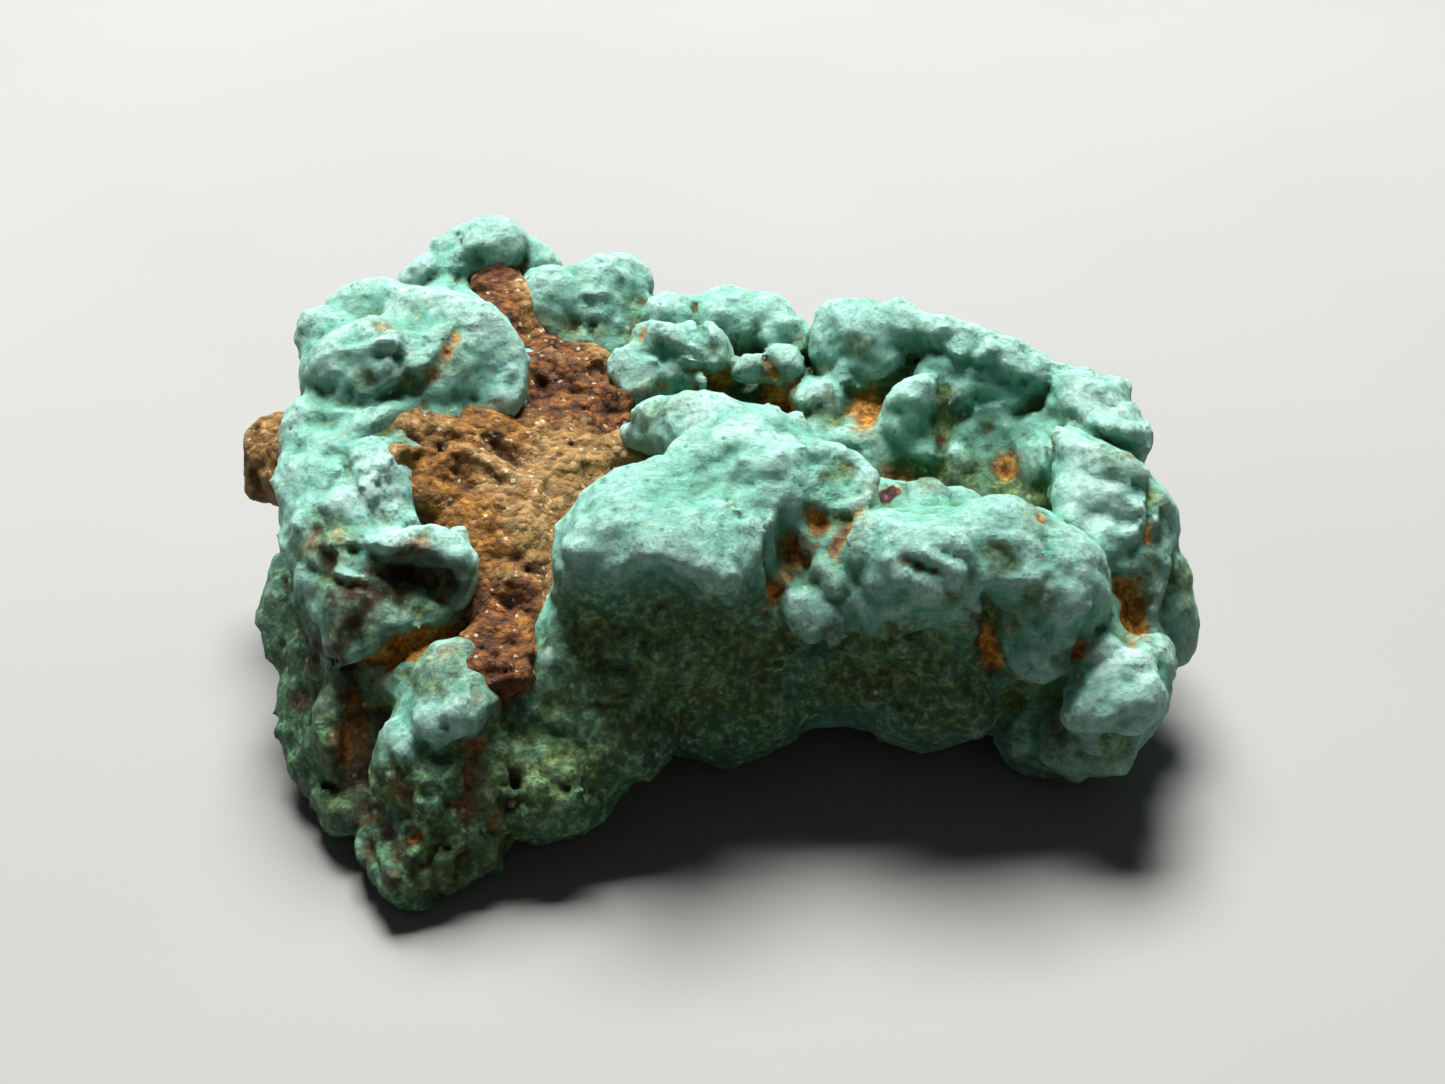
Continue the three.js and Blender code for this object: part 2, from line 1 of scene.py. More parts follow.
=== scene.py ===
import math
import bpy
import numpy as np
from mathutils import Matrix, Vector


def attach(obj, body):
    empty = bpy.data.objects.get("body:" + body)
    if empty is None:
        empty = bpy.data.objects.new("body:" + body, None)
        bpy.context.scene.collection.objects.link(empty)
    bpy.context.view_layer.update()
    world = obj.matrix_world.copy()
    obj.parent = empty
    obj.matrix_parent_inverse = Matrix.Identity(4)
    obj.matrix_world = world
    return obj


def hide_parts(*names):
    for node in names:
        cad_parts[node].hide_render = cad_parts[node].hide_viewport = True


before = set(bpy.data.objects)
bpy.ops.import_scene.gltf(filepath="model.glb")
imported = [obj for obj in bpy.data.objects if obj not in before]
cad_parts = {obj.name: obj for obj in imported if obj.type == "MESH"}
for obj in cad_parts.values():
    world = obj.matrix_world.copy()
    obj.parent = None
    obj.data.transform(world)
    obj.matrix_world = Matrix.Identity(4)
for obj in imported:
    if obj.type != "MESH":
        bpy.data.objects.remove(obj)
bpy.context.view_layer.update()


# ---- Host rock ----
# The sandy rock that the turquoise grew on: quartz and feldspar grains cemented by brown iron
# oxide. It fills the basin between the lobes, climbs in a seam to the back rim and sticks out
# as a small block at the left. It weathered and crumbled, so it is pitted and grainy all over.

MM = 0.001                      # everything below is worked out in millimetres
SHIFT = (0.33, -0.41, 0.0)      # from the middle of the growth to the middle of the footprint
FAR_AWAY = 10.0                 # the field where nothing has grown yet

# The camera stands 72 mm from the middle of the growth and looks down at 35 degrees. Small
# features are placed by where they show in its frame, and lie on the rock found there.
AIM = np.array((0.0, 0.0, 5.0))
LOOK_DOWN = math.radians(35.0)
DISTANCE = 72.0
FRAME = (1445, 1084)
PIXELS_PER_MM = 35.2            # at the aim, across the frame
UPWARD = np.array((0.0, math.sin(LOOK_DOWN), math.cos(LOOK_DOWN)))
ONWARD = np.array((0.0, math.cos(LOOK_DOWN), -math.sin(LOOK_DOWN)))
EYE = AIM - DISTANCE * ONWARD
SIGHT = np.arange(DISTANCE - 20.0, DISTANCE + 25.0, 0.1)    # steps along a line of sight


def lobe(at, half, blend, turn=0):
    """A rounded lump: its centre, its half sizes, how far its edge melts, degrees about +Z."""
    return {"at": at, "half": half, "blend": blend, "turn": turn, "hollow": False}


def roll(beads, blend):
    """A chain of balls, each (x, y, z, radius), swept into one rounded roll."""
    return {"beads": beads, "blend": blend, "hollow": False}


def pit(at, half, blend, turn=0):
    """A lobe of empty space."""
    return {**lobe(at, half, blend, turn), "hollow": True}


def cleft(beads, blend):
    """A roll of empty space."""
    return {**roll(beads, blend), "hollow": True}


def from_roll(beads, x, y, z):
    """How far each place is from the skin of a roll, negative inside it."""
    nearest = None
    for a, b in zip(beads[:-1], beads[1:]):
        way = b[:3] - a[:3]
        share = (x - a[0]) * way[0] + (y - a[1]) * way[1] + (z - a[2]) * way[2]
        share = np.clip(share / (way @ way), 0, 1)
        away = np.sqrt(
            (x - a[0] - share * way[0]) ** 2
            + (y - a[1] - share * way[1]) ** 2
            + (z - a[2] - share * way[2]) ** 2
        )
        away -= a[3] + share * (b[3] - a[3])
        nearest = away if nearest is None else np.minimum(nearest, away)
    return nearest


def from_lobe(at, half, turn, x, y, z):
    """Roughly how far each place is from the skin of a lobe, negative inside it."""
    turn = math.radians(turn)
    dx, dy = x - at[0], y - at[1]
    along = (math.cos(turn) * dx + math.sin(turn) * dy) / half[0]
    across = (math.cos(turn) * dy - math.sin(turn) * dx) / half[1]
    upward = (z - at[2]) / half[2]
    out = np.sqrt(along ** 2 + across ** 2 + upward ** 2) + 1e-9
    steep = np.sqrt((along / half[0]) ** 2 + (across / half[1]) ** 2 + (upward / half[2]) ** 2)
    return out * (out - 1) / (steep + 1e-9)


def waves(x, y, z):
    """Slow waves that bend space a little, so that no lump is a perfect ellipsoid."""
    return (
        x + 0.20 * np.sin(1.1 * y + 0.7 * z + 0.4) + 0.08 * np.sin(2.3 * z - 1.7 * y + 1.0),
        y + 0.20 * np.sin(1.2 * x - 0.8 * z + 1.9) + 0.08 * np.sin(2.1 * x + 1.9 * z),
        z + 0.16 * np.sin(1.0 * x + 1.1 * y + 0.3) + 0.08 * np.sin(2.2 * y - 2.0 * x + 2.0),
    )


def dice(i, j, k, seed):
    """A fixed number from 0 to 1 for each whole-numbered place."""
    n = (i * 73856093) ^ (j * 19349663) ^ (k * 83492791) ^ (seed * 40503 + 977)
    n = ((n ^ (n >> 13)) * 1274126177) & 0xFFFFFFFF
    n = ((n ^ (n >> 15)) * 668265263) & 0xFFFFFFFF
    return ((n >> 8) & 0xFFFF) / 65535.0


def corners(share):
    """The corners of a grid cell, and how much each counts for a place at that share of it."""
    for corner in range(8):
        step = (corner & 1, (corner >> 1) & 1, corner >> 2)
        near = [share[:, i] if step[i] else 1 - share[:, i] for i in range(3)]
        yield step, near[0] * near[1] * near[2]


def drift(p, size, seed):
    """Smooth noise from -1 to 1 whose features are about size mm across."""
    whole = np.floor(p / size).astype(np.int64)
    share = p / size - whole
    total = np.zeros(len(p))
    for (a, b, c), weight in corners(share * share * (3 - 2 * share)):
        total += weight * dice(whole[:, 0] + a, whole[:, 1] + b, whole[:, 2] + c, seed)
    return total * 2 - 1


def grains(p, size, seed):
    """Packed round grains about size mm apart: 1 on top of each grain, 0 in the joints."""
    q = p / size
    whole = np.floor(q).astype(np.int64)
    near = np.full(len(p), 9.0)
    for a, b, c in np.ndindex(3, 3, 3):
        i, j, k = whole[:, 0] + a - 1, whole[:, 1] + b - 1, whole[:, 2] + c - 1
        gap = (
            (i + dice(i, j, k, seed) - q[:, 0]) ** 2
            + (j + dice(i, j, k, seed + 1) - q[:, 1]) ** 2
            + (k + dice(i, j, k, seed + 2) - q[:, 2]) ** 2
        )
        near = np.minimum(near, gap)
    return np.sqrt(np.clip(1 - near / 0.75, 0, 1))


class Growth:
    """A body of rock on a grid of points, held as its rough distance, negative inside."""

    def __init__(self, low, high, cell):
        self.low = np.array(low, float)
        self.cell = cell
        self.count = [int(math.ceil((high[i] - low[i]) / cell)) + 1 for i in range(3)]
        lines = [(low[i] + cell * np.arange(self.count[i])).astype(np.float32) for i in range(3)]
        self.true = np.meshgrid(*lines, indexing="ij")
        self.bent = waves(*self.true)
        self.value = np.full(self.count, FAR_AWAY, np.float32)

    def add(self, part, reach=1.5):
        """Melts one lump or roll into the body, or takes it away where it is hollow. It changes
        the grid no further off than reach, or a little more for a lump that melts far."""
        blend = part["blend"]
        if "beads" in part:
            beads = np.array(part["beads"], float)
            margin = beads[:, 3].max() + reach
            low, high = beads[:, :3].min(0) - margin, beads[:, :3].max(0) + margin
        else:
            at, half = np.array(part["at"], float), np.array(part["half"], float)
            margin = half.max() + reach + (1.0 if blend > 1 else 0.0)
            low, high = at - margin, at + margin
        first = np.clip(((low - self.low) / self.cell).astype(int), 0, None)
        last = np.minimum(((high - self.low) / self.cell).astype(int) + 2, self.count)
        if (first >= last).any():
            return
        box = tuple(slice(a, b) for a, b in zip(first, last))
        places = [axis[box] for axis in self.bent]
        if "beads" in part:
            distance = from_roll(beads, *places)
        else:
            distance = from_lobe(at, half, part["turn"], *places)
        sign = -1 if part["hollow"] else 1
        body = sign * self.value[box]
        share = np.clip(0.5 + 0.5 * (body - distance) / blend, 0, 1)
        melted = body * (1 - share) + distance * share - blend * share * (1 - share)
        self.value[box] = sign * melted

    def add_lumps(self, balls, height, blend, melt=0.0):
        """Adds balls as lumps, height times as high as wide. Large ones may melt in further."""
        for *centre, radius in balls:
            self.add(lobe(centre, (radius, radius, height * radius), blend + melt * radius))

    def roughen(self, relief, depth=0.8):
        """Raises the skin by relief(points), which gives millimetres outward."""
        near = np.abs(self.value) < depth
        self.value[near] -= relief(self.places(near))

    def places(self, chosen):
        """Where the chosen grid points lie, one row each."""
        return np.stack([axis[chosen] for axis in self.true], 1).astype(float)

    def at(self, points, values=None):
        """The field, or another grid over the same points, read at any place."""
        values = self.value if values is None else values
        last = np.array(self.count) - 1
        q = (points - self.low) / self.cell
        outside = ((q < 0) | (q > last)).any(1)
        q = np.clip(q, 0, last - 0.001)
        whole = q.astype(int)
        total = np.zeros(len(points))
        for (a, b, c), weight in corners(q - whole):
            total += weight * values[whole[:, 0] + a, whole[:, 1] + b, whole[:, 2] + c]
        total[outside] = FAR_AWAY
        return total

    def slope(self, points):
        """Which way is out, at each point."""
        away = 0.5 * self.cell
        steps = away * np.eye(3)
        return np.stack([self.at(points + s) - self.at(points - s) for s in steps], 1) / (2 * away)

    def under(self, spots):
        """The rock that shows at spots of the frame, each (across, down, radius): the points, the
        ways out there and the radii. A spot that misses the rock is dropped."""
        across, down, radii = np.array(spots, float).T
        ways = np.outer(down * 0 + 1, ONWARD)
        ways += np.outer((FRAME[1] / 2 - down) / (PIXELS_PER_MM * DISTANCE), UPWARD)
        ways[:, 0] += (across - FRAME[0] / 2) / (PIXELS_PER_MM * DISTANCE)
        ways /= np.linalg.norm(ways, axis=1)[:, None]
        places = EYE + SIGHT[:, None, None] * ways
        value = self.at(places.reshape(-1, 3)).reshape(len(SIGHT), -1)
        first = (value < 0).argmax(0)
        met = np.nonzero(first)[0]
        first = first[met]
        share = value[first - 1, met] / (value[first - 1, met] - value[first, met])
        reach = SIGHT[first - 1] + share * (SIGHT[1] - SIGHT[0])
        points = EYE + reach[:, None] * ways[met]
        out = self.slope(points)
        return points, out / (np.linalg.norm(out, axis=1)[:, None] + 1e-6), radii[met]

    def balls(self, spots, lift=0.0):
        """Balls (x, y, z, radius) on the rock at spots of the frame, raised by lift radii."""
        points, out, radii = self.under(spots)
        centres = points + lift * radii[:, None] * out
        return np.column_stack([*waves(*centres.T), radii])

    def close_gaps(self):
        """Fills the gaps that are narrower than the grid, so that the skin never touches itself."""
        barely_inside = -0.05 * self.cell
        filled = 1
        while filled:
            filled = 0
            for first_axis, other_axis in ((0, 1), (1, 2), (0, 2)):
                side = {}
                for i, j in np.ndindex(2, 2):
                    cut = [slice(None)] * 3
                    cut[first_axis] = slice(i, self.count[first_axis] - 1 + i)
                    cut[other_axis] = slice(j, self.count[other_axis] - 1 + j)
                    side[i, j] = self.value[tuple(cut)]
                straight, crossed = (side[0, 0], side[1, 1]), (side[0, 1], side[1, 0])
                for rock, gap in ((straight, crossed), (crossed, straight)):
                    pinched = (rock[0] < 0) & (rock[1] < 0) & (gap[0] >= 0) & (gap[1] >= 0)
                    filled += int(pinched.sum())
                    narrower = pinched & (gap[0] <= gap[1])
                    gap[0][narrower] = barely_inside
                    gap[1][pinched & ~narrower] = barely_inside

    def skin(self):
        """Surface nets: one point in each grid cell that the skin passes through, and a quad
        round each grid edge that it crosses. Then the points are evened out on the skin."""
        inside = self.value < 0
        n = self.count
        full = np.zeros([n[0] - 1, n[1] - 1, n[2] - 1], np.uint8)
        cell_corners = [(c & 1, (c >> 1) & 1, c >> 2) for c in range(8)]
        for i, j, k in cell_corners:
            full += inside[i:n[0] - 1 + i, j:n[1] - 1 + j, k:n[2] - 1 + k]
        i, j, k = np.nonzero((full > 0) & (full < 8))
        number = np.full(full.shape, -1, np.int64)
        number[i, j, k] = np.arange(len(i))
        total, crossings = np.zeros((len(i), 3)), np.zeros(len(i))
        for corner in cell_corners:
            for axis in range(3):
                if corner[axis]:
                    continue
                other = list(corner)
                other[axis] = 1
                a = self.value[i + corner[0], j + corner[1], k + corner[2]]
                b = self.value[i + other[0], j + other[1], k + other[2]]
                crossed = (a < 0) != (b < 0)
                place = np.tile(np.array(corner, float), (len(i), 1))
                place[:, axis] += np.where(crossed, a / np.where(crossed, a - b, 1), 0)
                total += place * crossed[:, None]
                crossings += crossed
        points = (np.stack([i, j, k], 1) + total / crossings[:, None]) * self.cell + self.low
        quads = []
        for axis in range(3):
            ahead, behind = [slice(None)] * 3, [slice(None)] * 3
            behind[axis], ahead[axis] = slice(0, n[axis] - 1), slice(1, n[axis])
            start, end = inside[tuple(behind)], inside[tuple(ahead)]
            at = np.stack(np.nonzero(start != end), 1)
            u, w = (axis + 1) % 3, (axis + 2) % 3
            at = at[(at[:, u] > 0) & (at[:, w] > 0) & (at[:, u] < n[u] - 1) & (at[:, w] < n[w] - 1)]
            ring = []
            for du, dw in ((-1, -1), (0, -1), (0, 0), (-1, 0)):
                cell = at.copy()
                cell[:, u] += du
                cell[:, w] += dw
                ring.append(number[cell[:, 0], cell[:, 1], cell[:, 2]])
            quad = np.stack(ring, 1)
            out = ~start[at[:, 0], at[:, 1], at[:, 2]]
            quad[out] = quad[out][:, ::-1]
            quads.append(quad)
        quads = np.concatenate(quads)
        return self.largest(self.evened(points, quads), quads)

    def evened(self, points, quads, rounds=2):
        """Spreads the points evenly and brings them back onto the skin."""
        a, b = quads.ravel(), np.roll(quads, -1, 1).ravel()
        size = len(points)
        share = np.bincount(a, minlength=size) + np.bincount(b, minlength=size)
        for _ in range(rounds):
            middle = np.stack([
                np.bincount(a, points[b, i], size) + np.bincount(b, points[a, i], size)
                for i in range(3)
            ], 1) / share[:, None]
            points = points + 0.5 * (middle - points)
            for _ in range(2):
                slope = self.slope(points)
                length = np.sqrt((slope ** 2).sum(1)) + 1e-3
                step = np.clip(self.at(points) / length, -self.cell, self.cell) / length
                points = points - slope * step[:, None]
        return points

    def largest(self, points, quads):
        """Keeps the one body and drops loose crumbs and sealed pockets."""
        label = np.arange(len(points))
        a, b = quads.ravel(), np.roll(quads, -1, 1).ravel()
        while True:
            low = np.minimum(label[a], label[b])
            new = label.copy()
            np.minimum.at(new, a, low)
            np.minimum.at(new, b, low)
            new = new[new]
            if (new == label).all():
                break
            label = new
        names, sizes = np.unique(label, return_counts=True)
        keep = label == names[sizes.argmax()]
        number = np.cumsum(keep) - 1
        return points[keep], number[quads[keep[quads[:, 0]]]]

    def crowding(self, points, radius):
        """How much rock lies within about radius mm: 0.5 on a flat face, less on a crest and
        more in a cleft."""
        rock = np.clip(0.5 - self.value / self.cell, 0, 1)
        reach = max(1, int(round(radius / self.cell)))
        steps = np.arange(-2 * reach, 2 * reach + 1)
        weights = np.exp(-0.5 * (steps / reach) ** 2)
        weights /= weights.sum()
        for axis in range(3):
            blurred = np.zeros_like(rock)
            for step, weight in zip(steps, weights):
                here, there = [slice(None)] * 3, [slice(None)] * 3
                here[axis] = slice(max(0, -step), rock.shape[axis] - max(0, step))
                there[axis] = slice(max(0, step), rock.shape[axis] - max(0, -step))
                blurred[tuple(here)] += weight * rock[tuple(there)]
            rock = blurred
        return self.at(points, rock)


# the basin between the lobes, the seam up to the back rim and the block at the left
MATRIX = [
    lobe((-5.6, 1, 5), (3.6, 4.4, 2.6), 0.6), lobe((-5, -3, 4.1), (2.4, 2.6, 1.7), 0.8),
    lobe((-4.8, 4.9, 5.6), (2.5, 2.6, 2), 0.8), lobe((-3.5, 3.8, 5.2), (1.7, 1.9, 1.6), 0.6),
    lobe((-6.4, 7.2, 6.6), (1, 1.8, 2), 0.6), lobe((-7.55, 9.45, 8.15), (1, 0.9, 0.7), 0.5),
    lobe((-6.9, 8.3, 8.45), (0.9, 0.8, 0.7), 0.5), lobe((-6.3, 7.7, 8.2), (0.8, 0.8, 0.7), 0.5),
    lobe((-5.9, 7.3, 7.75), (0.8, 0.8, 0.7), 0.5), lobe((-5.35, 6.7, 7.6), (0.8, 0.7, 0.6), 0.4),
    lobe((-5.55, 5.25, 7.55), (1.1, 1, 0.6), 0.4), lobe((-4.25, 6.1, 7.2), (1, 0.8, 0.6), 0.4),
    lobe((-6, 2.45, 7.2), (1.1, 0.9, 0.6), 0.4), lobe((-7.35, 0.6, 7.35), (1.2, 0.9, 0.6), 0.4),
    lobe((-8.65, -0.4, 7.25), (1, 1, 0.6), 0.4, -30), lobe((-9.25, -0.45, 8.05), (0.6, 0.6, 0.5), 0.3),
    lobe((-8.75, 0.75, 7.9), (0.5, 0.5, 0.5), 0.3), lobe((-8.6, 0.7, 7.75), (0.7, 0.55, 0.5), 0.5),
    lobe((-8, 1.2, 7.9), (0.8, 0.6, 0.5), 0.5), lobe((-7.4, 1.8, 7.9), (0.8, 0.6, 0.5), 0.5),
    lobe((-6.7, 2.2, 7.65), (0.9, 0.7, 0.6), 0.5), lobe((-6.1, 4.7, 7.2), (0.8, 0.7, 0.6), 0.3),
    lobe((-2.2, 1.35, 7), (1, 0.8, 0.6), 0.5), lobe((-7.7, -2, 5.6), (0.9, 0.7, 0.8), 0.3),
    lobe((-7.7, -0.9, 6.45), (1.2, 1, 0.6), 0.4), lobe((-6.05, -3.15, 5.7), (0.95, 1, 0.65), 0.4),
    lobe((-6.1, -4.9, 5.35), (1.1, 0.9, 0.65), 0.4), lobe((-5.75, -6.3, 5), (0.6, 0.6, 0.6), 0.4),
    lobe((-5.6, -5.45, 5.05), (0.7, 0.7, 0.5), 0.3), lobe((-5.55, -3.95, 5.3), (1, 0.7, 0.5), 0.4),
    lobe((-5.45, -5.95, 4.45), (0.5, 0.5, 0.6), 0.3), lobe((-5.8, -6.3, 4.85), (0.6, 0.6, 0.5), 0.3),
    lobe((-6.55, -5.95, 5.25), (0.6, 0.6, 0.5), 0.3), lobe((-9, 3, 5.2), (2.6, 1.5, 1.3), 0.5),
    lobe((-11.3, 3.7, 5.2), (2, 1.5, 1.45), 0.3), lobe((-12.5, 4.1, 4.6), (1.15, 1.2, 1.2), 0.3),
    lobe((-13.2, 4.3, 5.1), (0.8, 0.8, 0.9), 0.3),
    roll([(-13.75, 4.6, 5.45, 0.42), (-13.75, 3.8, 4.4, 0.42)], 0.2),
    roll([(-13.45, 4.75, 5.7, 0.4), (-12.75, 4.95, 5.8, 0.45)], 0.25),
    roll([(-13.4, 4.85, 5.2, 0.5), (-13.3, 4.05, 4.1, 0.45)], 0.25),
]
# ledges, crumbs, cracks and pits of the weathered surface: where they show in the frame, across
# and down, and their radii in millimetres
HOST_LEDGES = [
    # the basin and the seam
    [(452, 430, 0.22), (475, 433, 0.25), (500, 438, 0.25), (528, 452, 0.22)],
    [(470, 455, 0.2), (495, 466, 0.25), (520, 480, 0.22)],
    [(405, 450, 0.2), (430, 452, 0.25), (450, 462, 0.2)],
    [(400, 480, 0.2), (420, 492, 0.24), (445, 500, 0.2)],
    [(540, 430, 0.2), (570, 440, 0.24), (600, 446, 0.2)],
    [(560, 470, 0.22), (585, 462, 0.24), (610, 460, 0.2)],
    [(500, 575, 0.22), (520, 580, 0.26), (535, 590, 0.22)],
    [(470, 640, 0.2), (490, 648, 0.22), (510, 655, 0.2)],
    [(545, 350, 0.2), (560, 372, 0.24), (590, 392, 0.24), (620, 398, 0.2)],
]
HOST_KNOBS = [
    # the basin and the seam
    (410, 462, 0.3), (428, 464, 0.34), (446, 472, 0.34), (434, 484, 0.3), (418, 492, 0.3), (440, 508, 0.34),
    (456, 516, 0.3), (476, 522, 0.32), (468, 538, 0.3), (482, 488, 0.3), (500, 500, 0.36), (505, 540, 0.34),
    (522, 520, 0.3), (495, 572, 0.4), (516, 590, 0.4), (500, 612, 0.34), (530, 602, 0.3), (480, 622, 0.34),
    (510, 632, 0.34), (526, 650, 0.3), (500, 660, 0.34), (520, 680, 0.3), (512, 694, 0.3), (540, 480, 0.34),
    (560, 455, 0.34), (590, 448, 0.3), (610, 438, 0.3), (530, 440, 0.3), (480, 560, 0.3), (535, 560, 0.3),
    (520, 545, 0.3), (490, 520, 0.3), (560, 500, 0.3), (545, 520, 0.3), (455, 450, 0.3), (435, 440, 0.3),
    (415, 432, 0.28), (480, 430, 0.3), (440, 460, 0.24), (465, 480, 0.24), (575, 385, 0.26),
    (600, 380, 0.28), (560, 365, 0.3), (590, 365, 0.3), (620, 420, 0.26), (545, 415, 0.3), (570, 420, 0.28),
    (530, 395, 0.26), (500, 290, 0.34), (485, 280, 0.3), (510, 310, 0.3), (505, 335, 0.3), (530, 345, 0.3),
    (475, 270, 0.3), (497, 270, 0.3), (485, 600, 0.28), (470, 590, 0.26), (490, 590, 0.26),
    (530, 630, 0.28), (455, 490, 0.22), (425, 478, 0.2),
    # the block at the left
    (263, 425, 0.34), (283, 420, 0.34), (258, 450, 0.34), (278, 445, 0.34), (263, 475, 0.34),
    (283, 470, 0.34), (253, 438, 0.26), (270, 490, 0.26), (293, 430, 0.3), (256, 465, 0.24),
]
HOST_CRACKS = [
    # the basin and the seam
    [(468, 441, 0.08), (488, 449, 0.14), (508, 459, 0.18), (526, 467, 0.12)],
    [(560, 397, 0.07), (580, 408, 0.09), (605, 414, 0.08), (622, 412, 0.06)],
    [(528, 372, 0.12), (540, 384, 0.17), (548, 400, 0.12)],
    [(400, 466, 0.05), (425, 474, 0.07), (450, 482, 0.06)],
    [(455, 500, 0.06), (480, 508, 0.08), (500, 516, 0.06)],
    [(485, 555, 0.07), (505, 560, 0.1), (525, 558, 0.07)],
    [(490, 610, 0.07), (510, 616, 0.1), (528, 612, 0.07)],
    [(485, 670, 0.06), (500, 674, 0.08), (520, 668, 0.07)],
    [(570, 430, 0.06), (590, 425, 0.08), (615, 432, 0.07)],
    [(500, 350, 0.06), (520, 350, 0.08), (540, 345, 0.07)],
    # the block at the left
    [(251, 432, 0.06), (266, 440, 0.08), (283, 434, 0.07)],
    [(254, 470, 0.06), (270, 466, 0.08), (288, 462, 0.07)],
]
HOST_PITS = [
    # the basin and the seam
    (541, 384, 0.2), (580, 412, 0.18), (606, 413, 0.17), (560, 396, 0.13), (596, 396, 0.13),
    (576, 381, 0.13), (560, 426, 0.13), (621, 400, 0.13), (590, 426, 0.12), (546, 405, 0.13),
    (530, 402, 0.12), (510, 458, 0.16), (495, 452, 0.12), (524, 470, 0.11), (470, 500, 0.08),
    (450, 522, 0.07), (500, 555, 0.08), (520, 570, 0.08), (490, 600, 0.08), (510, 645, 0.08),
    (480, 650, 0.08), (515, 670, 0.08), (600, 360, 0.1), (575, 350, 0.1), (520, 330, 0.1), (498, 310, 0.08),
    (480, 290, 0.08), (550, 440, 0.08), (520, 500, 0.07), (545, 490, 0.07), (610, 450, 0.07),
    (440, 446, 0.07), (424, 455, 0.07),
    # the block at the left
    (270, 436, 0.1), (266, 460, 0.11), (280, 456, 0.08), (258, 482, 0.08), (286, 484, 0.1),
]
# where dark rust, golden ochre and pale tan cement lie
RUST = [
    (488, 262, 0.6), (470, 262, 0.5), (505, 272, 0.6), (512, 325, 0.4), (580, 395, 1.85), (545, 372, 1.05),
    (610, 410, 1.05), (560, 350, 0.85), (512, 690, 0.85), (516, 675, 0.6), (600, 430, 0.7), (505, 695, 0.7),
    (498, 290, 0.7), (508, 306, 0.6), (480, 272, 0.6), (505, 680, 1.3), (515, 700, 0.8), (495, 665, 0.7),
    (515, 650, 0.6), (530, 660, 0.5), (490, 612, 0.8), (520, 595, 0.6), (500, 640, 0.8), (478, 600, 0.5),
]
GOLD = [
    (490, 290, 0.9), (500, 310, 0.8), (515, 330, 0.7), (435, 475, 1.1), (455, 512, 1.05), (480, 532, 0.8),
    (500, 560, 0.85), (480, 600, 0.95), (500, 640, 0.95), (500, 410, 0.95), (480, 425, 0.85),
    (530, 600, 0.8), (520, 440, 0.55), (505, 670, 0.9), (520, 640, 0.9), (480, 640, 0.8), (520, 612, 0.8),
    (500, 620, 0.8), (535, 640, 0.7),
]
TAN = [
    (560, 470, 1.7), (600, 450, 1.1), (500, 480, 1.05), (515, 520, 1.3), (490, 290, 1.3), (510, 600, 1.1),
]

HOST_LOW = (-15.2, -7.8, 0.9)
HOST_HIGH = (0.6, 11.4, 10.6)
HOST_CELL = 0.10
host = Growth(HOST_LOW, HOST_HIGH, HOST_CELL)
for part in MATRIX:
    host.add(part)
host_plain = host.value.copy()
ledges = [host.balls(chain, lift=-0.3) for chain in HOST_LEDGES]
crumbs = host.balls(HOST_KNOBS, lift=-0.65)
for beads in ledges:
    host.add(roll(beads, blend=0.2))
host.add_lumps(crumbs, height=0.85, blend=0.15)
for *centre, radius in host.balls(HOST_PITS, lift=0.5):
    host.add(pit(centre, (1.3 * radius, radius, radius), blend=0.15))


def host_relief(p):
    """Torn ledges 1 to 2 mm long that all lean one way, then the sand grains, 0.2 to 0.6 mm."""
    bent = p + 0.15 * np.stack([drift(p, 0.7, seed) for seed in (13, 14, 15)], 1)
    along, across = bent[:, 0] - bent[:, 1], bent[:, 0] + bent[:, 1]
    leaning = np.stack([0.35 * along, 0.8 * across, bent[:, 2]], 1)
    ledges = 0.16 * (np.abs(drift(leaning, 0.8, 12)) - 0.3) + 0.08 * drift(leaning, 1.5, 11)
    crests = 0.10 * (0.3 - np.abs(drift(bent, 0.6, 16)))
    sand = 0.08 * (grains(bent, 0.62, 21) - 0.7) + 0.12 * (grains(p, 0.30, 31) - 0.7)
    return ledges + crests + sand


host.roughen(host_relief)
for beads in [host.balls(chain) for chain in HOST_CRACKS]:
    host.add(cleft(beads, blend=0.12))
host.close_gaps()


def piece(name, points, quads, material):
    """A smooth-shaded piece from a skin in millimetres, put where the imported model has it."""
    mesh = bpy.data.meshes.new(name)
    placed = (points + np.array(SHIFT)) * MM
    placed[:, 2] = np.maximum(placed[:, 2], 0)
    mesh.from_pydata(placed.tolist(), [], quads.tolist())
    mesh.polygons.foreach_set("use_smooth", [True] * len(quads))
    mesh.materials.append(material)
    made = bpy.data.objects.new(name, mesh)
    bpy.context.scene.collection.objects.link(made)
    return made


def mark(made, marks):
    """Keeps one number a point on the mesh under each name, for the material to read."""
    for name, amounts in marks.items():
        layer = made.data.attributes.new(name, "FLOAT", "POINT")
        layer.data.foreach_set("value", np.asarray(amounts, np.float32))


def ramp(value, start, end):
    """0 where the value is at its start, 1 where it is at its end, and even between."""
    return np.clip((value - start) / (end - start), 0, 1)


def stain(body, p, spots, seed):
    """1 within the spots of the frame, fading at a ragged edge to 0 outside."""
    strength = np.zeros(len(p))
    ragged = 0.32 * (drift(p, 0.9, seed) + 0.6 * drift(p, 0.4, seed + 1))
    centres, _, radii = body.under(spots)
    for centre, radius in zip(centres, radii):
        away = np.sqrt(((p - centre) ** 2).sum(1)) / radius
        strength = np.maximum(strength, np.clip(1.6 - 1.3 * (away + ragged), 0, 1))
    return strength


def linear(code):
    """An sRGB hex colour as the linear colour that a shader takes."""
    parts = [int(code[i:i + 2], 16) / 255 for i in (1, 3, 5)]
    return [*(c / 12.92 if c <= 0.04045 else ((c + 0.055) / 1.055) ** 2.4 for c in parts), 1.0]


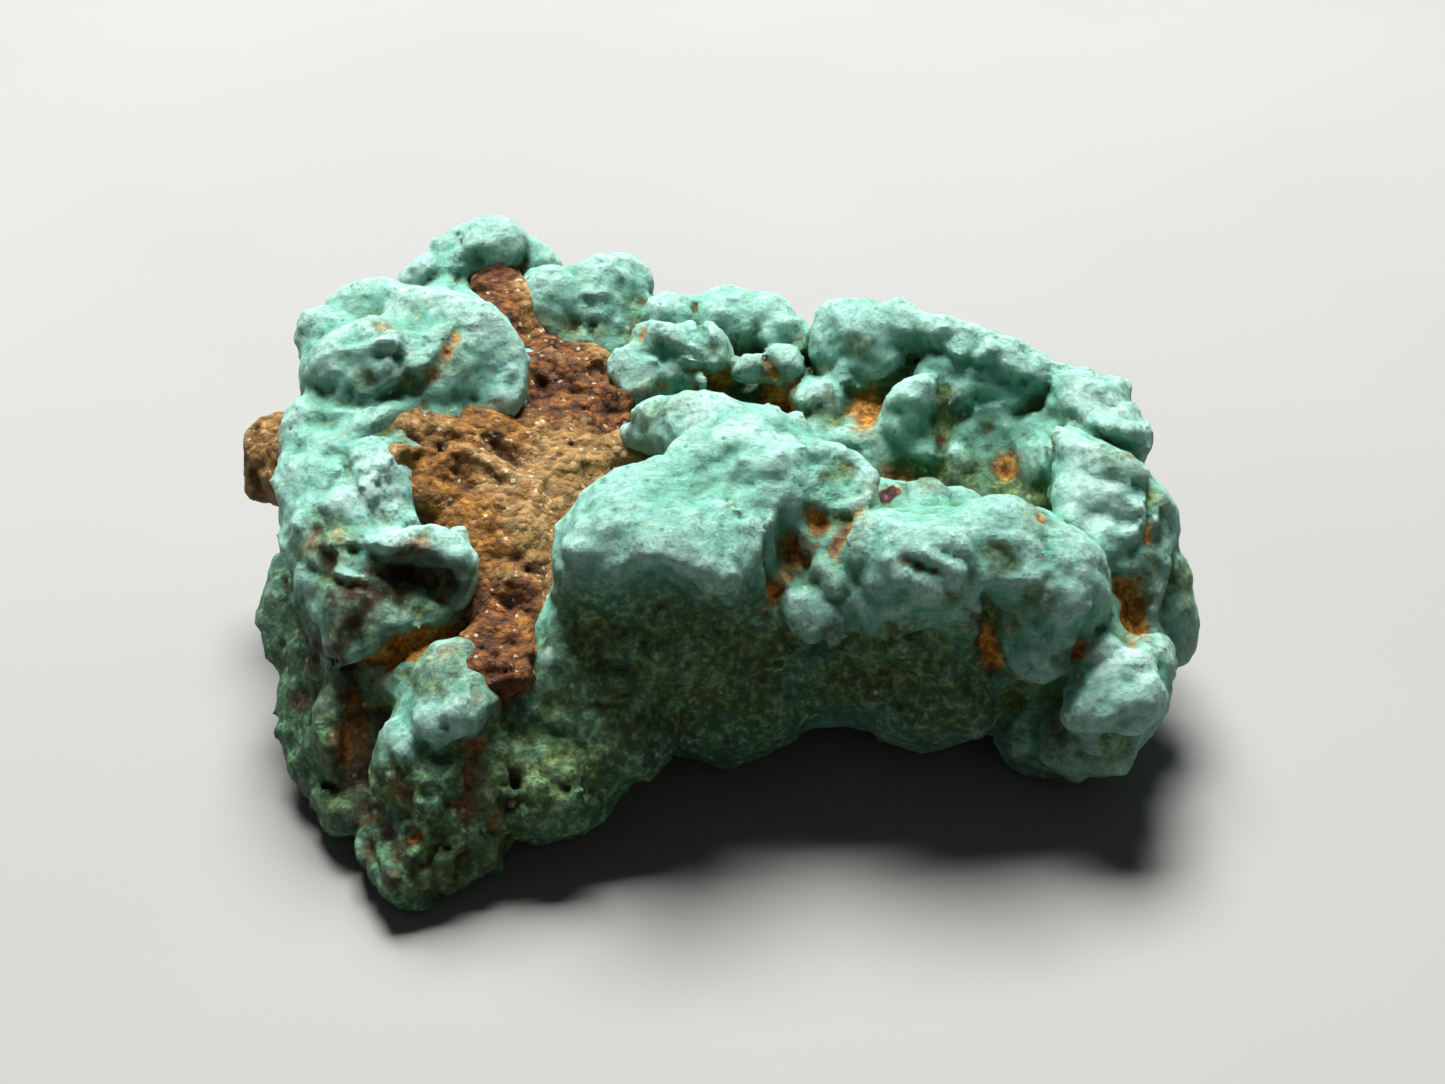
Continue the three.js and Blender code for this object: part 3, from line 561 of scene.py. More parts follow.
def node(tree, kind, inputs, give=0, stops=(), **settings):
    """Adds one node with its settings, sets or links its inputs, and gives one of its outputs."""
    made = tree.nodes.new("ShaderNode" + kind)
    for name, value in settings.items():
        setattr(made, name, value)
    for count, (place, code) in enumerate(stops):
        elements = made.color_ramp.elements
        element = elements[count] if count < 2 else elements.new(place)
        element.position = place
        element.color = linear(code)
    for name, value in inputs.items():
        if isinstance(value, bpy.types.NodeSocket):
            tree.links.new(value, made.inputs[name])
        else:
            made.inputs[name].default_value = value
    return made.outputs[give]


def begin(name):
    """An empty material: its node tree, and where a point is on the stone."""
    material = bpy.data.materials.new(name)
    material.use_nodes = True
    return material, material.node_tree, node(material.node_tree, "TexCoord", {}, "Object")


def per_mm(size):
    """The scale of a pattern whose features are size mm across."""
    return 1.0 / (size * MM)


def stained(tree, colour, tinted_by, layers):
    """Lays stains over a colour. Each layer: its name on the mesh, how ragged and by which noise,
    where it begins and is full, its strength, its colours from dark to light."""
    for name, ragged, noise, begins, full, strength, stops in layers:
        zone = node(tree, "Attribute", {}, "Fac", attribute_name=name)
        uneven = node(tree, "Math", {0: noise, 1: ragged, 2: zone}, operation="MULTIPLY_ADD")
        amount = node(tree, "MapRange", {
            "Value": uneven, "From Min": begins + 0.5 * ragged, "From Max": full + 0.5 * ragged,
            "To Max": strength})
        tint = node(tree, "ValToRGB", {"Fac": tinted_by}, stops=stops)
        colour = node(tree, "Mix", {0: amount, 6: colour, 7: tint}, 2, data_type="RGBA")
    return colour


def finish(tree, colour, gloss, relief, ior):
    """Joins the finished colour, gloss and relief to the material's shader."""
    shader = tree.nodes["Principled BSDF"]
    for name, value in (("Base Color", colour), ("Roughness", gloss), ("Normal", relief)):
        tree.links.new(value, shader.inputs[name])
    shader.inputs["IOR"].default_value = ior
    shader.inputs["Specular IOR Level"].default_value = 0.25


# Iron-cemented sandstone, broken and weathered: rough quartz grains in a tan to golden brown cement. It
# gives the eye a dry grain with a few glints where a quartz face shows. The glints are painted into the
# colour, and the crests are paler and the clefts darker partly through painted highlight and painted shade.
sandstone, tree, place = begin("iron_cemented_sandstone")
cloud = node(tree, "TexNoise", {
    "Vector": place, "Scale": per_mm(1.6), "Detail": 4.0, "Roughness": 0.65})
mottle = node(tree, "TexNoise", {
    "Vector": place, "Scale": per_mm(0.45), "Detail": 5.0, "Roughness": 0.7})
colour = node(tree, "ValToRGB", {"Fac": cloud}, stops=(
    (0.34, "#563610"), (0.46, "#6e4d1e"), (0.56, "#866431"), (0.68, "#a07f50")))
colour = stained(tree, colour, mottle, (
    # crest is paler on the open convex grains, partly as painted highlight; cleft, below, is darker in the
    # cracks and pits, partly as painted shade
    ("crest", 0.8, mottle, 0.1, 1.0, 0.5, ((0.36, "#927040"), (0.64, "#bc9c68"))),
    ("tan", 1.4, mottle, 0.3, 0.8, 0.7, ((0.36, "#7f6234"), (0.64, "#a07f4e"))),
    ("gold", 1.2, mottle, 0.1, 0.6, 0.95, (
        (0.36, "#51300a"), (0.50, "#7d5013"), (0.64, "#9c6e28"))),
    ("rust", 1.4, mottle, 0.1, 0.6, 1.0, (
        (0.36, "#200e04"), (0.48, "#562e0c"), (0.62, "#80501c"))),
    ("cleft", 0.6, mottle, 0.0, 0.9, 0.9, ((0.36, "#241208"), (0.64, "#4a2a0e"))),
))
# each sand grain has its own lightness, and one in ten shows a smooth quartz face
SAND = {"Vector": place, "Scale": per_mm(0.24)}
GLINTS = {"Vector": place, "Scale": per_mm(0.10)}
grain = node(tree, "SeparateColor", {"Color": node(tree, "TexVoronoi", SAND, "Color")}, "Red")
light = node(tree, "MapRange", {"Value": grain, "To Min": 0.55, "To Max": 1.2})
colour = node(
    tree, "Mix", {0: 1.0, 6: colour, 7: light}, 2, data_type="RGBA", blend_type="MULTIPLY")
gloss = node(tree, "MapRange", {
    "Value": grain, "From Min": 0.86, "From Max": 0.94, "To Min": 0.80, "To Max": 0.25})
# Painted glints: a few pale spots mixed into the colour stand in for light caught on quartz faces.
glint = node(tree, "SeparateColor", {"Color": node(tree, "TexVoronoi", GLINTS, "Color")}, "Blue")
glint = node(tree, "MapRange", {
    "Value": glint, "From Min": 0.97, "From Max": 0.99, "To Max": 0.5})
colour = node(tree, "Mix", {0: glint, 6: colour, 7: linear("#d8c7a2")}, 2, data_type="RGBA")
between_grains = node(tree, "TexVoronoi", SAND, "Distance")
tooth = node(tree, "Bump", {"Distance": 0.12 * MM, "Height": between_grains}, invert=True)
grit = node(tree, "TexNoise", {
    "Vector": place, "Scale": per_mm(0.14), "Detail": 4.0, "Roughness": 0.7})
tooth = node(tree, "Bump", {"Distance": 0.12 * MM, "Height": grit, "Normal": tooth})
finish(tree, colour, gloss, tooth, ior=1.54)

points, quads = host.skin()
rock = piece("host_rock", points, quads, sandstone)
crowded = host.crowding(points, 0.3)
in_cleft = ramp(crowded, 0.52, 0.74)
mark(rock, {
    # crest and cleft carry painted highlight on the convex grains and painted shade in the cracks
    "crest": ramp(crowded, 0.50, 0.36),
    "cleft": in_cleft,
    "tan": stain(host, points, TAN, 121),
    "gold": stain(host, points, GOLD, 101) * (0.7 + 0.3 * in_cleft),
    "rust": stain(host, points, RUST, 111) * (0.9 + 0.3 * in_cleft),
})
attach(rock, "root")
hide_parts("turquoise_nugget")


# ---- Turquoise ----
# The skin of turquoise itself, a copper and aluminium phosphate that was laid down from water
# in rounded lobes over the host rock. It is hard and waxy to matt, blue-green where it is pure,
# and greener with brown iron stain in the clefts. It stands on the low points of its lobes.

# the body under the lobes
CORE = [
    lobe((-7.4, 1.6, 3.8), (4.2, 5.6, 3.5), 1.6), lobe((-6.2, 6, 4.4), (3.9, 3.4, 3.6), 1.6),
    lobe((0.2, 1.4, 3.6), (7, 5, 3), 1.6), lobe((6.6, 0, 3.4), (5, 4.4, 2.9), 1.6),
    lobe((0, 5.6, 3.5), (6.4, 2.6, 3), 1.6), lobe((6, 3.4, 4.2), (4.8, 2.6, 3.4), 1.6),
    lobe((-9, 2.6, 6.6), (3.1, 2.9, 2.4), 0.8), lobe((-7.2, 7.2, 5), (2.9, 2.6, 3.4), 1),
    lobe((-7, 7.7, 6.8), (2.2, 1.8, 2), 0.8), lobe((-8.2, 6.8, 7.1), (1.9, 2.4, 1.8), 0.7),
    lobe((-4, 7.2, 4.7), (2.4, 2, 3.1), 0.8), lobe((-0.6, 6.6, 4.3), (3.4, 2, 3), 0.7),
    lobe((4.6, 5.5, 4.5), (3.2, 1.8, 3.2), 0.7), lobe((9.9, 2.4, 4.6), (2.4, 2.6, 3.2), 0.8),
    lobe((-5.2, 6, 2.6), (3.2, 2.4, 3), 1), lobe((4.8, 4.4, 2.6), (3.4, 2.2, 2.9), 1),
]

# the chain of lobes along the back rim, from the left
BACK_RIM = [
    lobe((-7.4, 9.5, 9.2), (1.25, 1.1, 0.85), 0.35), lobe((-7.4, 9.7, 8.95), (0.95, 0.9, 0.7), 0.35),
    roll([(-8.05, 10, 9.1, 0.55), (-8.75, 9.6, 9.05, 0.6), (-9.05, 9.1, 8.75, 0.7)], 0.35),
    roll([(-6.7, 10.25, 8.75, 0.6), (-5.65, 10.35, 8.1, 0.6)], 0.4),
    lobe((-8.6, 9.7, 8.55), (0.9, 0.7, 0.7), 0.4), lobe((-8.8, 8.8, 8.6), (0.9, 0.8, 0.8), 0.5),
    lobe((-6.1, 10.1, 7.9), (0.8, 0.8, 0.9), 0.4), lobe((-5.2, 8.5, 7.9), (1.3, 1.2, 1.2), 0.3),
    lobe((-3.5, 8.8, 8.2), (1.25, 1.2, 1.2), 0.4), lobe((-4.9, 7.9, 7.5), (1.15, 0.9, 0.95), 0.4),
    lobe((-3.5, 8, 7.7), (1.1, 0.9, 0.95), 0.4), lobe((-2.5, 8.2, 7.4), (0.9, 0.8, 0.9), 0.4),
    lobe((-1.5, 7.8, 7.6), (1, 1, 1), 0.4), lobe((-0.1, 8.3, 7.7), (1.1, 1, 0.9), 0.4),
    lobe((1.1, 8, 7.4), (1.05, 1, 0.9), 0.4), lobe((2, 7.2, 7.2), (0.8, 0.8, 1), 0.4),
    lobe((2.4, 7.1, 6.7), (0.8, 0.8, 0.9), 0.4), lobe((-1.7, 6, 7.5), (1, 0.9, 1), 0.4),
    lobe((-0.5, 6.3, 7.7), (0.9, 0.8, 0.9), 0.4), lobe((0.75, 5.45, 7.55), (0.72, 0.55, 0.45), 0.15),
    lobe((1.7, 5.4, 7.25), (0.7, 0.8, 1), 0.3), lobe((-2.45, 5, 7.05), (0.75, 0.6, 0.65), 0.3),
    lobe((-2.9, 5.4, 7.45), (0.7, 0.6, 0.6), 0.3), lobe((-2, 5.35, 7.05), (0.65, 0.6, 0.55), 0.3),
    lobe((-1.05, 5.15, 7.05), (0.45, 0.45, 0.35), 0.2), lobe((4.1, 5.9, 7.7), (1.5, 1.4, 1.5), 0.35),
    lobe((2.55, 4.45, 7.2), (0.75, 0.65, 0.6), 0.2), lobe((3.6, 4.7, 6.3), (1, 0.8, 0.8), 0.3),
    lobe((5.1, 6.2, 8.3), (1.2, 0.9, 0.9), 0.4), lobe((5.7, 4.55, 7.35), (0.8, 0.7, 0.8), 0.4),
    lobe((5.5, 3.2, 7.15), (0.8, 0.75, 1.4), 0.3), lobe((4.65, 2.7, 6.65), (0.45, 0.45, 0.45), 0.2),
    lobe((7.6, 4, 7.3), (2.1, 1.25, 2.1), 0.4, -12),
    roll([
        (5.35, 5.45, 8.85, 0.6), (6.4, 4.8, 8.85, 0.55), (7.45, 4.05, 8.85, 0.5), (8.9, 3.2, 8.6, 0.55),
    ], 0.4),
    lobe((8.1, 3.1, 6.6), (1.4, 0.9, 1.1), 0.4), lobe((7.5, 3.5, 7.4), (1.4, 0.9, 0.9), 0.4),
    lobe((8.9, 3.75, 7.5), (0.8, 0.7, 0.9), 0.5), lobe((8.85, 2.2, 6.15), (0.45, 0.5, 0.7), 0.2),
    cleft([
        (-7.5, 8.4, 9.35, 0.35), (-7.05, 7.6, 9.5, 0.45), (-6.65, 6.95, 9.25, 0.45),
        (-6.3, 6.5, 8.95, 0.42), (-6.05, 6.3, 8.65, 0.42), (-5.7, 6.7, 8.1, 0.42),
    ], 0.3),
]

# two rows of lobes down the back
BACK_FACE = [
    lobe((-10.1, 2.2, 2.4), (1.4, 1.8, 1.6), 0.4), lobe((-9.1, 5.3, 2.2), (1.7, 1.6, 1.6), 0.35),
    lobe((-6.9, 7.7, 2.6), (1.8, 1.7, 1.7), 0.35), lobe((-3.6, 7.5, 2), (1.7, 1.5, 1.4), 0.35),
    lobe((-0.6, 7.2, 2.4), (1.6, 1.5, 1.5), 0.3), lobe((1.9, 6.5, 2.1), (1.4, 1.6, 1.5), 0.35),
    lobe((4.5, 6.1, 2.4), (1.7, 1.6, 1.5), 0.35), lobe((7.1, 4.8, 2.2), (1.6, 1.6, 1.4), 0.3),
    lobe((10.4, 2.6, 2.4), (1.7, 1.5, 1.7), 0.35), lobe((-9.2, 7.1, 5.2), (1.6, 1.6, 1.5), 0.35),
    lobe((-5.6, 8.5, 5.4), (1.6, 1.6, 1.5), 0.3), lobe((-2.2, 7.5, 5.2), (1.5, 1.4, 1.4), 0.35),
    lobe((0.8, 7.6, 4.9), (1.7, 1.4, 1.5), 0.3), lobe((3, 6.8, 5.3), (1.3, 1.4, 1.3), 0.35),
    lobe((6.3, 6, 5.2), (1.7, 1.6, 1.6), 0.35), lobe((9.6, 4.2, 5), (1.6, 1.6, 1.5), 0.35),
    lobe((11.3, 1.2, 5), (1.5, 1.6, 1.6), 0.35), lobe((-3.4, 7.8, 7), (1.4, 1.1, 1.1), 0.4),
    lobe((6.8, 5.2, 7.3), (1.5, 1, 1.1), 0.4),
]

# the two blunt lobes that close the right end and the fold under them
RIGHT_END = [
    lobe((10.6, 2.9, 7.9), (1.25, 1.1, 0.95), 0.3), lobe((11.7, 2.2, 7.25), (0.75, 0.8, 0.7), 0.3),
    lobe((9.95, 3.2, 8.5), (0.7, 0.7, 0.6), 0.3), lobe((11.2, 1.6, 7.5), (1.2, 1, 1), 0.5),
    lobe((9.9, 0.3, 7.1), (1.15, 1.2, 1.2), 0.3), lobe((10.8, -0.7, 6.4), (1.3, 1.4, 1.5), 0.35),
    lobe((10.3, -0.5, 7.1), (1.3, 1.4, 1.15), 0.4), lobe((10.6, -1.6, 6.4), (1.4, 1.3, 1), 0.5),
    lobe((11.95, -1, 5.55), (0.65, 1.2, 1.5), 0.3), lobe((11.4, -2.1, 5.4), (1, 1.3, 1.3), 0.3),
    lobe((12.6, -1.4, 3.6), (0.9, 1.4, 1.7), 0.4),
    cleft([(3.85, 1.7, 7.25, 0.8), (5.75, 0.6, 7, 1), (7.85, -0.8, 7.05, 0.7)], 0.7),
    cleft([
        (5.35, 4.65, 8.9, 0.25), (5.05, 4.65, 7.95, 0.3), (4.45, 4.25, 7.55, 0.32), (4.3, 2.95, 7.5, 0.35),
    ], 0.25),
]

# the big smooth lobe along the front and the plate behind it
RIDGE = [
    lobe((-1.1, -3.6, 6.6), (3.6, 2.5, 2.8), 0.7, 28), lobe((-0.5, -3.4, 4.1), (4.2, 2.4, 2.9), 0.9, 12),
    lobe((0.6, -1.6, 7.8), (2.7, 1.8, 1.9), 0.5, 22), lobe((0.4, -0.1, 8.7), (2.2, 1.5, 1.1), 0.35, -10),
    lobe((-1.1, 0.9, 8.3), (1.2, 1, 0.9), 0.25), lobe((-1.95, 0.75, 7.9), (0.6, 0.6, 0.5), 0.2),
    lobe((-2.4, 1.1, 7.55), (0.4, 0.45, 0.35), 0.25), lobe((-0.8, -0.2, 8.25), (1.1, 0.9, 0.7), 0.5),
    roll([
        (-3.2, -3.5, 7.6, 1), (-2.25, -3, 8.5, 1.05), (-1.05, -2.1, 8.5, 1.05), (0.35, -1.8, 8.55, 1),
        (1.5, -1.85, 8.75, 0.9),
    ], 0.45),
    lobe((0.5, -3.5, 7.6), (1.1, 1.2, 1), 0.4), lobe((-1.2, -4.4, 7.9), (2.4, 1.6, 1.35), 0.5, 10),
    lobe((-2.6, -3.3, 8.2), (1.1, 1, 1.1), 0.5),
    roll([
        (-3.1, -4.95, 7.75, 0.7), (-1.9, -5.4, 7.9, 0.8), (-0.8, -5.2, 7.9, 0.8), (0.55, -4.4, 7.6, 0.75),
    ], 0.9),
    lobe((-0.6, -3.7, 2.7), (3.8, 2.1, 1.9), 0.6),
    cleft([(-3.4, -8.35, 6.35, 2.6), (-1.35, -8.45, 6.65, 2.9), (0.7, -8.1, 6.2, 2.6)], 0.25),
]

# the curled lobe at the right of the ridge and the knobs in the notch below it
NOTCH = [
    roll([
        (2, -1.4, 9.1, 0.4), (2.85, -1.9, 8.9, 0.42), (3.55, -2.4, 8.8, 0.42), (3.65, -3.05, 8.45, 0.45),
        (3, -2.9, 8.2, 0.45),
    ], 0.25),
    lobe((1.6, -2.9, 8.1), (1.1, 1, 0.9), 0.5), lobe((2.3, -2.65, 8.45), (0.8, 0.7, 0.6), 0.4),
    lobe((2.8, -2.35, 8.45), (0.95, 0.8, 0.75), 0.25), lobe((2.15, -1.7, 8.65), (0.9, 0.7, 0.75), 0.35),
    lobe((1.9, -1.85, 8.2), (0.7, 0.6, 0.8), 0.35), lobe((4.35, -1.7, 7.6), (0.9, 0.8, 0.65), 0.3),
    lobe((2.05, -1.9, 7.7), (0.7, 0.7, 0.8), 0.3), lobe((2.7, -3.2, 6.9), (1.4, 1.2, 1.1), 0.5),
    lobe((3.5, -2.9, 7.4), (0.9, 0.8, 0.8), 0.4), lobe((2.5, -3.6, 5.8), (1.1, 0.9, 0.9), 0.4),
    lobe((1.8, -4.3, 6.55), (0.5, 0.5, 0.55), 0.2), lobe((1.55, -4.85, 6.25), (0.5, 0.5, 0.5), 0.2),
    lobe((2.05, -4.9, 6), (0.6, 0.5, 0.5), 0.35), lobe((2.6, -4.95, 5.8), (0.55, 0.5, 0.5), 0.3),
    lobe((2.95, -4.5, 6.75), (0.45, 0.45, 0.5), 0.15), lobe((2.4, -3.6, 7.2), (0.4, 0.4, 0.35), 0.15),
]

# the broad lobe at the front right and the foot under it
FRONT_RIGHT = [
    lobe((5.3, -3, 5.7), (3, 2.5, 2.6), 0.6), lobe((5.5, -4.2, 7.7), (1.9, 1.5, 1.3), 0.4),
    lobe((7.2, -4.1, 7.7), (1.6, 1.4, 1.1), 0.35), lobe((5.15, -1.9, 7.85), (0.55, 0.5, 0.4), 0.15),
    lobe((8.4, -3, 5.2), (2.4, 2.3, 2.6), 0.5), lobe((9, -3.9, 6.8), (1.2, 1.3, 1.3), 0.6),
    lobe((5.6, -4.8, 6.9), (1.9, 0.9, 0.9), 0.6), lobe((7.8, -4.1, 7), (1.4, 1.1, 1.2), 0.6),
    lobe((7.8, -4.6, 6.4), (1.3, 0.9, 1.1), 0.6), lobe((9.5, -3.8, 6.5), (0.85, 0.9, 1.1), 0.5),
    lobe((8.5, -4.8, 5.2), (1, 0.8, 1.1), 0.5), lobe((5.2, -2.6, 3.1), (4.4, 2.4, 2.5), 0.8),
    lobe((5.6, -4, 3), (2.2, 1.4, 1.6), 0.6), lobe((10.1, -2.9, 2.7), (2.3, 2.3, 2.9), 0.5),
    lobe((10.1, -5.2, 4.4), (1, 0.9, 0.9), 0.4), lobe((11.3, -4.6, 4.4), (0.8, 0.9, 0.85), 0.45),
    lobe((10.6, -6.1, 4), (1.4, 1.1, 0.9), 0.5), lobe((10.1, -5.5, 2.3), (1.4, 1.1, 1.2), 0.8),
    lobe((9.3, -4.1, 1.5), (1.7, 1.3, 1.7), 0.5),
    cleft([
        (6.9, -5.5, 7.35, 0.2), (6.85, -5.15, 6.1, 0.25), (7.2, -5.05, 4.75, 0.25),
        (7.55, -5.05, 3.5, 0.25),
    ], 0.25),
    pit((11.4, -3.9, 5.5), (0.7, 0.6, 0.8), 0.3),
]

# the foot at the front left
FRONT_FOOT = [
    lobe((-6.9, -5.6, 3), (2, 2.3, 2.7), 0.7), lobe((-4.4, -4.7, 3.2), (2.8, 2.2, 2.5), 0.9),
    lobe((-7.2, -7.7, 1.8), (1.7, 1.6, 2.2), 0.5), lobe((-5.1, -7.2, 2), (2, 1.3, 1.5), 0.6),
    lobe((-2.9, -6.3, 2.7), (1.8, 1.3, 1.2), 0.7), lobe((-7.9, -9.2, 1), (1.1, 1, 1.2), 0.5),
    lobe((-8.15, -9.6, 0.55), (0.55, 0.55, 0.7), 0.3), lobe((-8.75, -9.05, 0.95), (0.5, 0.5, 0.8), 0.3),
    roll([
        (-8.7, -7.65, 3.1, 0.5), (-8.3, -7.3, 3.95, 0.55), (-7.55, -7.25, 4.45, 0.55),
        (-6.3, -7.3, 4.55, 0.5),
    ], 0.4),
    lobe((-7, -6.5, 3.6), (1.2, 0.8, 0.6), 0.5), lobe((-7.65, -8, 1.9), (0.4, 0.4, 0.45), 0.2),
    lobe((-7.2, -8.55, 1.3), (0.45, 0.45, 0.5), 0.2), lobe((-8.6, -8.3, 1.8), (0.4, 0.4, 0.5), 0.2),
    lobe((-6.45, -8.6, 1.25), (0.45, 0.45, 0.5), 0.2), lobe((-5.75, -7.75, 2.05), (0.4, 0.4, 0.45), 0.2),
]

# the curled lobe at the top left
LEFT_TOP = [
    lobe((-9.1, 3.7, 8.6), (2.7, 2.2, 1.6), 0.5), lobe((-11.1, 4.4, 8.8), (1.3, 1.3, 1.2), 0.4),
    roll([
        (-10.8, 5.7, 9.15, 0.85), (-9.5, 5.45, 9.55, 0.9), (-8.45, 4.8, 9.4, 1), (-7.4, 4.1, 9.25, 1.05),
        (-6.75, 3.6, 8.5, 1.05), (-6.5, 2.95, 7.95, 1), (-7, 2.45, 7.5, 0.8),
    ], 0.3),
    lobe((-10.7, 3.1, 8.7), (1.5, 1.4, 1.3), 0.25), lobe((-9.7, 3.1, 9.6), (1, 1, 0.9), 0.3),
    lobe((-8.5, 3.4, 9.4), (0.8, 0.8, 0.85), 0.2), lobe((-9.4, 2.9, 8.4), (1, 0.7, 0.8), 0.3),
    cleft([
        (-11.6, 1.55, 8.85, 0.25), (-11, 1.4, 8.85, 0.3), (-10.05, 1.3, 8.75, 0.32),
        (-9.15, 1.2, 8.8, 0.32), (-8.6, 1.5, 8.95, 0.28),
    ], 0.2),
    cleft([
        (-7.8, 3.35, 10.05, 0.12), (-7.9, 2.9, 9.9, 0.17), (-8, 2.3, 9.65, 0.2), (-8.2, 1.85, 9.3, 0.2),
        (-8.5, 1.5, 9.05, 0.18),
    ], 0.15),
]

# the lip under that lobe, the left shoulder, the torn tongue and the low left rim
LEFT_SIDE = [
    roll([
        (-11.65, 0.95, 8.1, 0.6), (-11.1, 1.6, 8.2, 0.55), (-10.15, 2.3, 7.9, 0.5), (-9, 2.55, 7.9, 0.5),
        (-8.2, 3.3, 8, 0.5),
    ], 0.25),
    roll([
        (-11.45, 1.3, 7.85, 0.9), (-11.5, -0.4, 7.25, 1.1), (-10.7, -1.9, 6.65, 1.1),
        (-10, -2.95, 5.95, 1.1),
    ], 0.4),
    lobe((-9.9, 0, 6.2), (1.7, 2.9, 2.6), 0.7), lobe((-10, -1.6, 5.2), (1.6, 2.6, 2.9), 0.6),
    lobe((-9.7, -3.6, 4), (1.8, 2.2, 3), 0.6), lobe((-9.9, -5, 2), (1.2, 1.7, 2.1), 0.5),
    lobe((-10.4, -6.85, 1.1), (0.6, 0.6, 0.6), 0.35), lobe((-10.2, -5.6, 3), (0.8, 1, 1.2), 0.4),
    roll([
        (-12.15, 0.1, 4.2, 0.8), (-12.05, -2.5, 2.8, 0.8), (-11.6, -4.4, 1.9, 0.7),
        (-10.9, -5.45, 1.1, 0.6),
    ], 0.9),
    roll([(-9.15, -3.15, 7.1, 0.6), (-8.15, -3.4, 7.15, 0.65), (-7.2, -3.5, 7.1, 0.55)], 0.3),
    lobe((-8.6, -3.3, 5.4), (1.8, 1, 1), 0.4), lobe((-9, -2.3, 7.05), (0.9, 0.7, 0.6), 0.35),
    pit((-8, -4.4, 6.9), (1.3, 0.62, 0.55), 0.3, 10),
    roll([(-7.05, -2.7, 6.8, 0.42), (-6.75, -3.15, 6.65, 0.42), (-6.9, -3.5, 6.25, 0.42)], 0.25),
    roll([(-9.8, -5, 5, 0.5), (-8.6, -4.45, 5.3, 0.5), (-7.35, -3.35, 5.6, 0.45)], 0.3),
    pit((-8, -4, 7.9), (0.8, 0.4, 0.3), 0.2),
    cleft([
        (-9.55, -5.95, 4.75, 0.33), (-9.05, -5.7, 5.15, 0.36), (-8.2, -4.95, 5.35, 0.36),
        (-7.4, -4.6, 5.7, 0.36), (-6.35, -4, 5.8, 0.36),
    ], 0.25),
    cleft([
        (-10.25, -5.2, 4.85, 0.25), (-9.65, -6.8, 4.1, 0.3), (-9.65, -7.35, 2.9, 0.35),
        (-9.55, -8.35, 1.15, 0.3),
    ], 0.3),
    lobe((-9.6, -6.6, 1.1), (0.9, 0.9, 1), 0.3), lobe((-9.3, -8.15, 1), (0.7, 0.7, 0.8), 0.3),
]

TURQUOISE = (
    CORE + BACK_RIM + BACK_FACE + RIGHT_END + RIDGE + NOTCH + FRONT_RIGHT + FRONT_FOOT + LEFT_TOP
    + LEFT_SIDE)

# small folds, knobs, round beads and grooves: where they show in the frame, across and down,
# and their radii in millimetres
FOLDS = [
    # the lip under the curled lobe, the shoulder and the crumbly patch
    [(300, 418, 0.3), (320, 411, 0.3), (348, 411, 0.3), (378, 406, 0.26), (392, 402, 0.2)],
    # the torn tongue and the band under it
    [(446, 532, 0.24), (457, 538, 0.28), (464, 552, 0.3), (462, 570, 0.28), (456, 584, 0.22)],
    # the large lobe along the front
    [(562, 566, 0.22), (560, 592, 0.24), (556, 622, 0.22), (552, 645, 0.2)],
    [(548, 655, 0.25), (558, 652, 0.22), (566, 662, 0.2)],
    # the curled lobe right of the large one, and the notch below it
    [(806, 452, 0.26), (832, 449, 0.28), (858, 459, 0.3), (873, 478, 0.32), (871, 500, 0.32),
     (852, 511, 0.32), (832, 511, 0.3), (822, 502, 0.22)],
    # the wall at the back of the valley
    [(906, 308, 0.3), (930, 310, 0.32), (955, 322, 0.3), (985, 334, 0.28), (1015, 343, 0.28),
     (1045, 355, 0.3)],
]
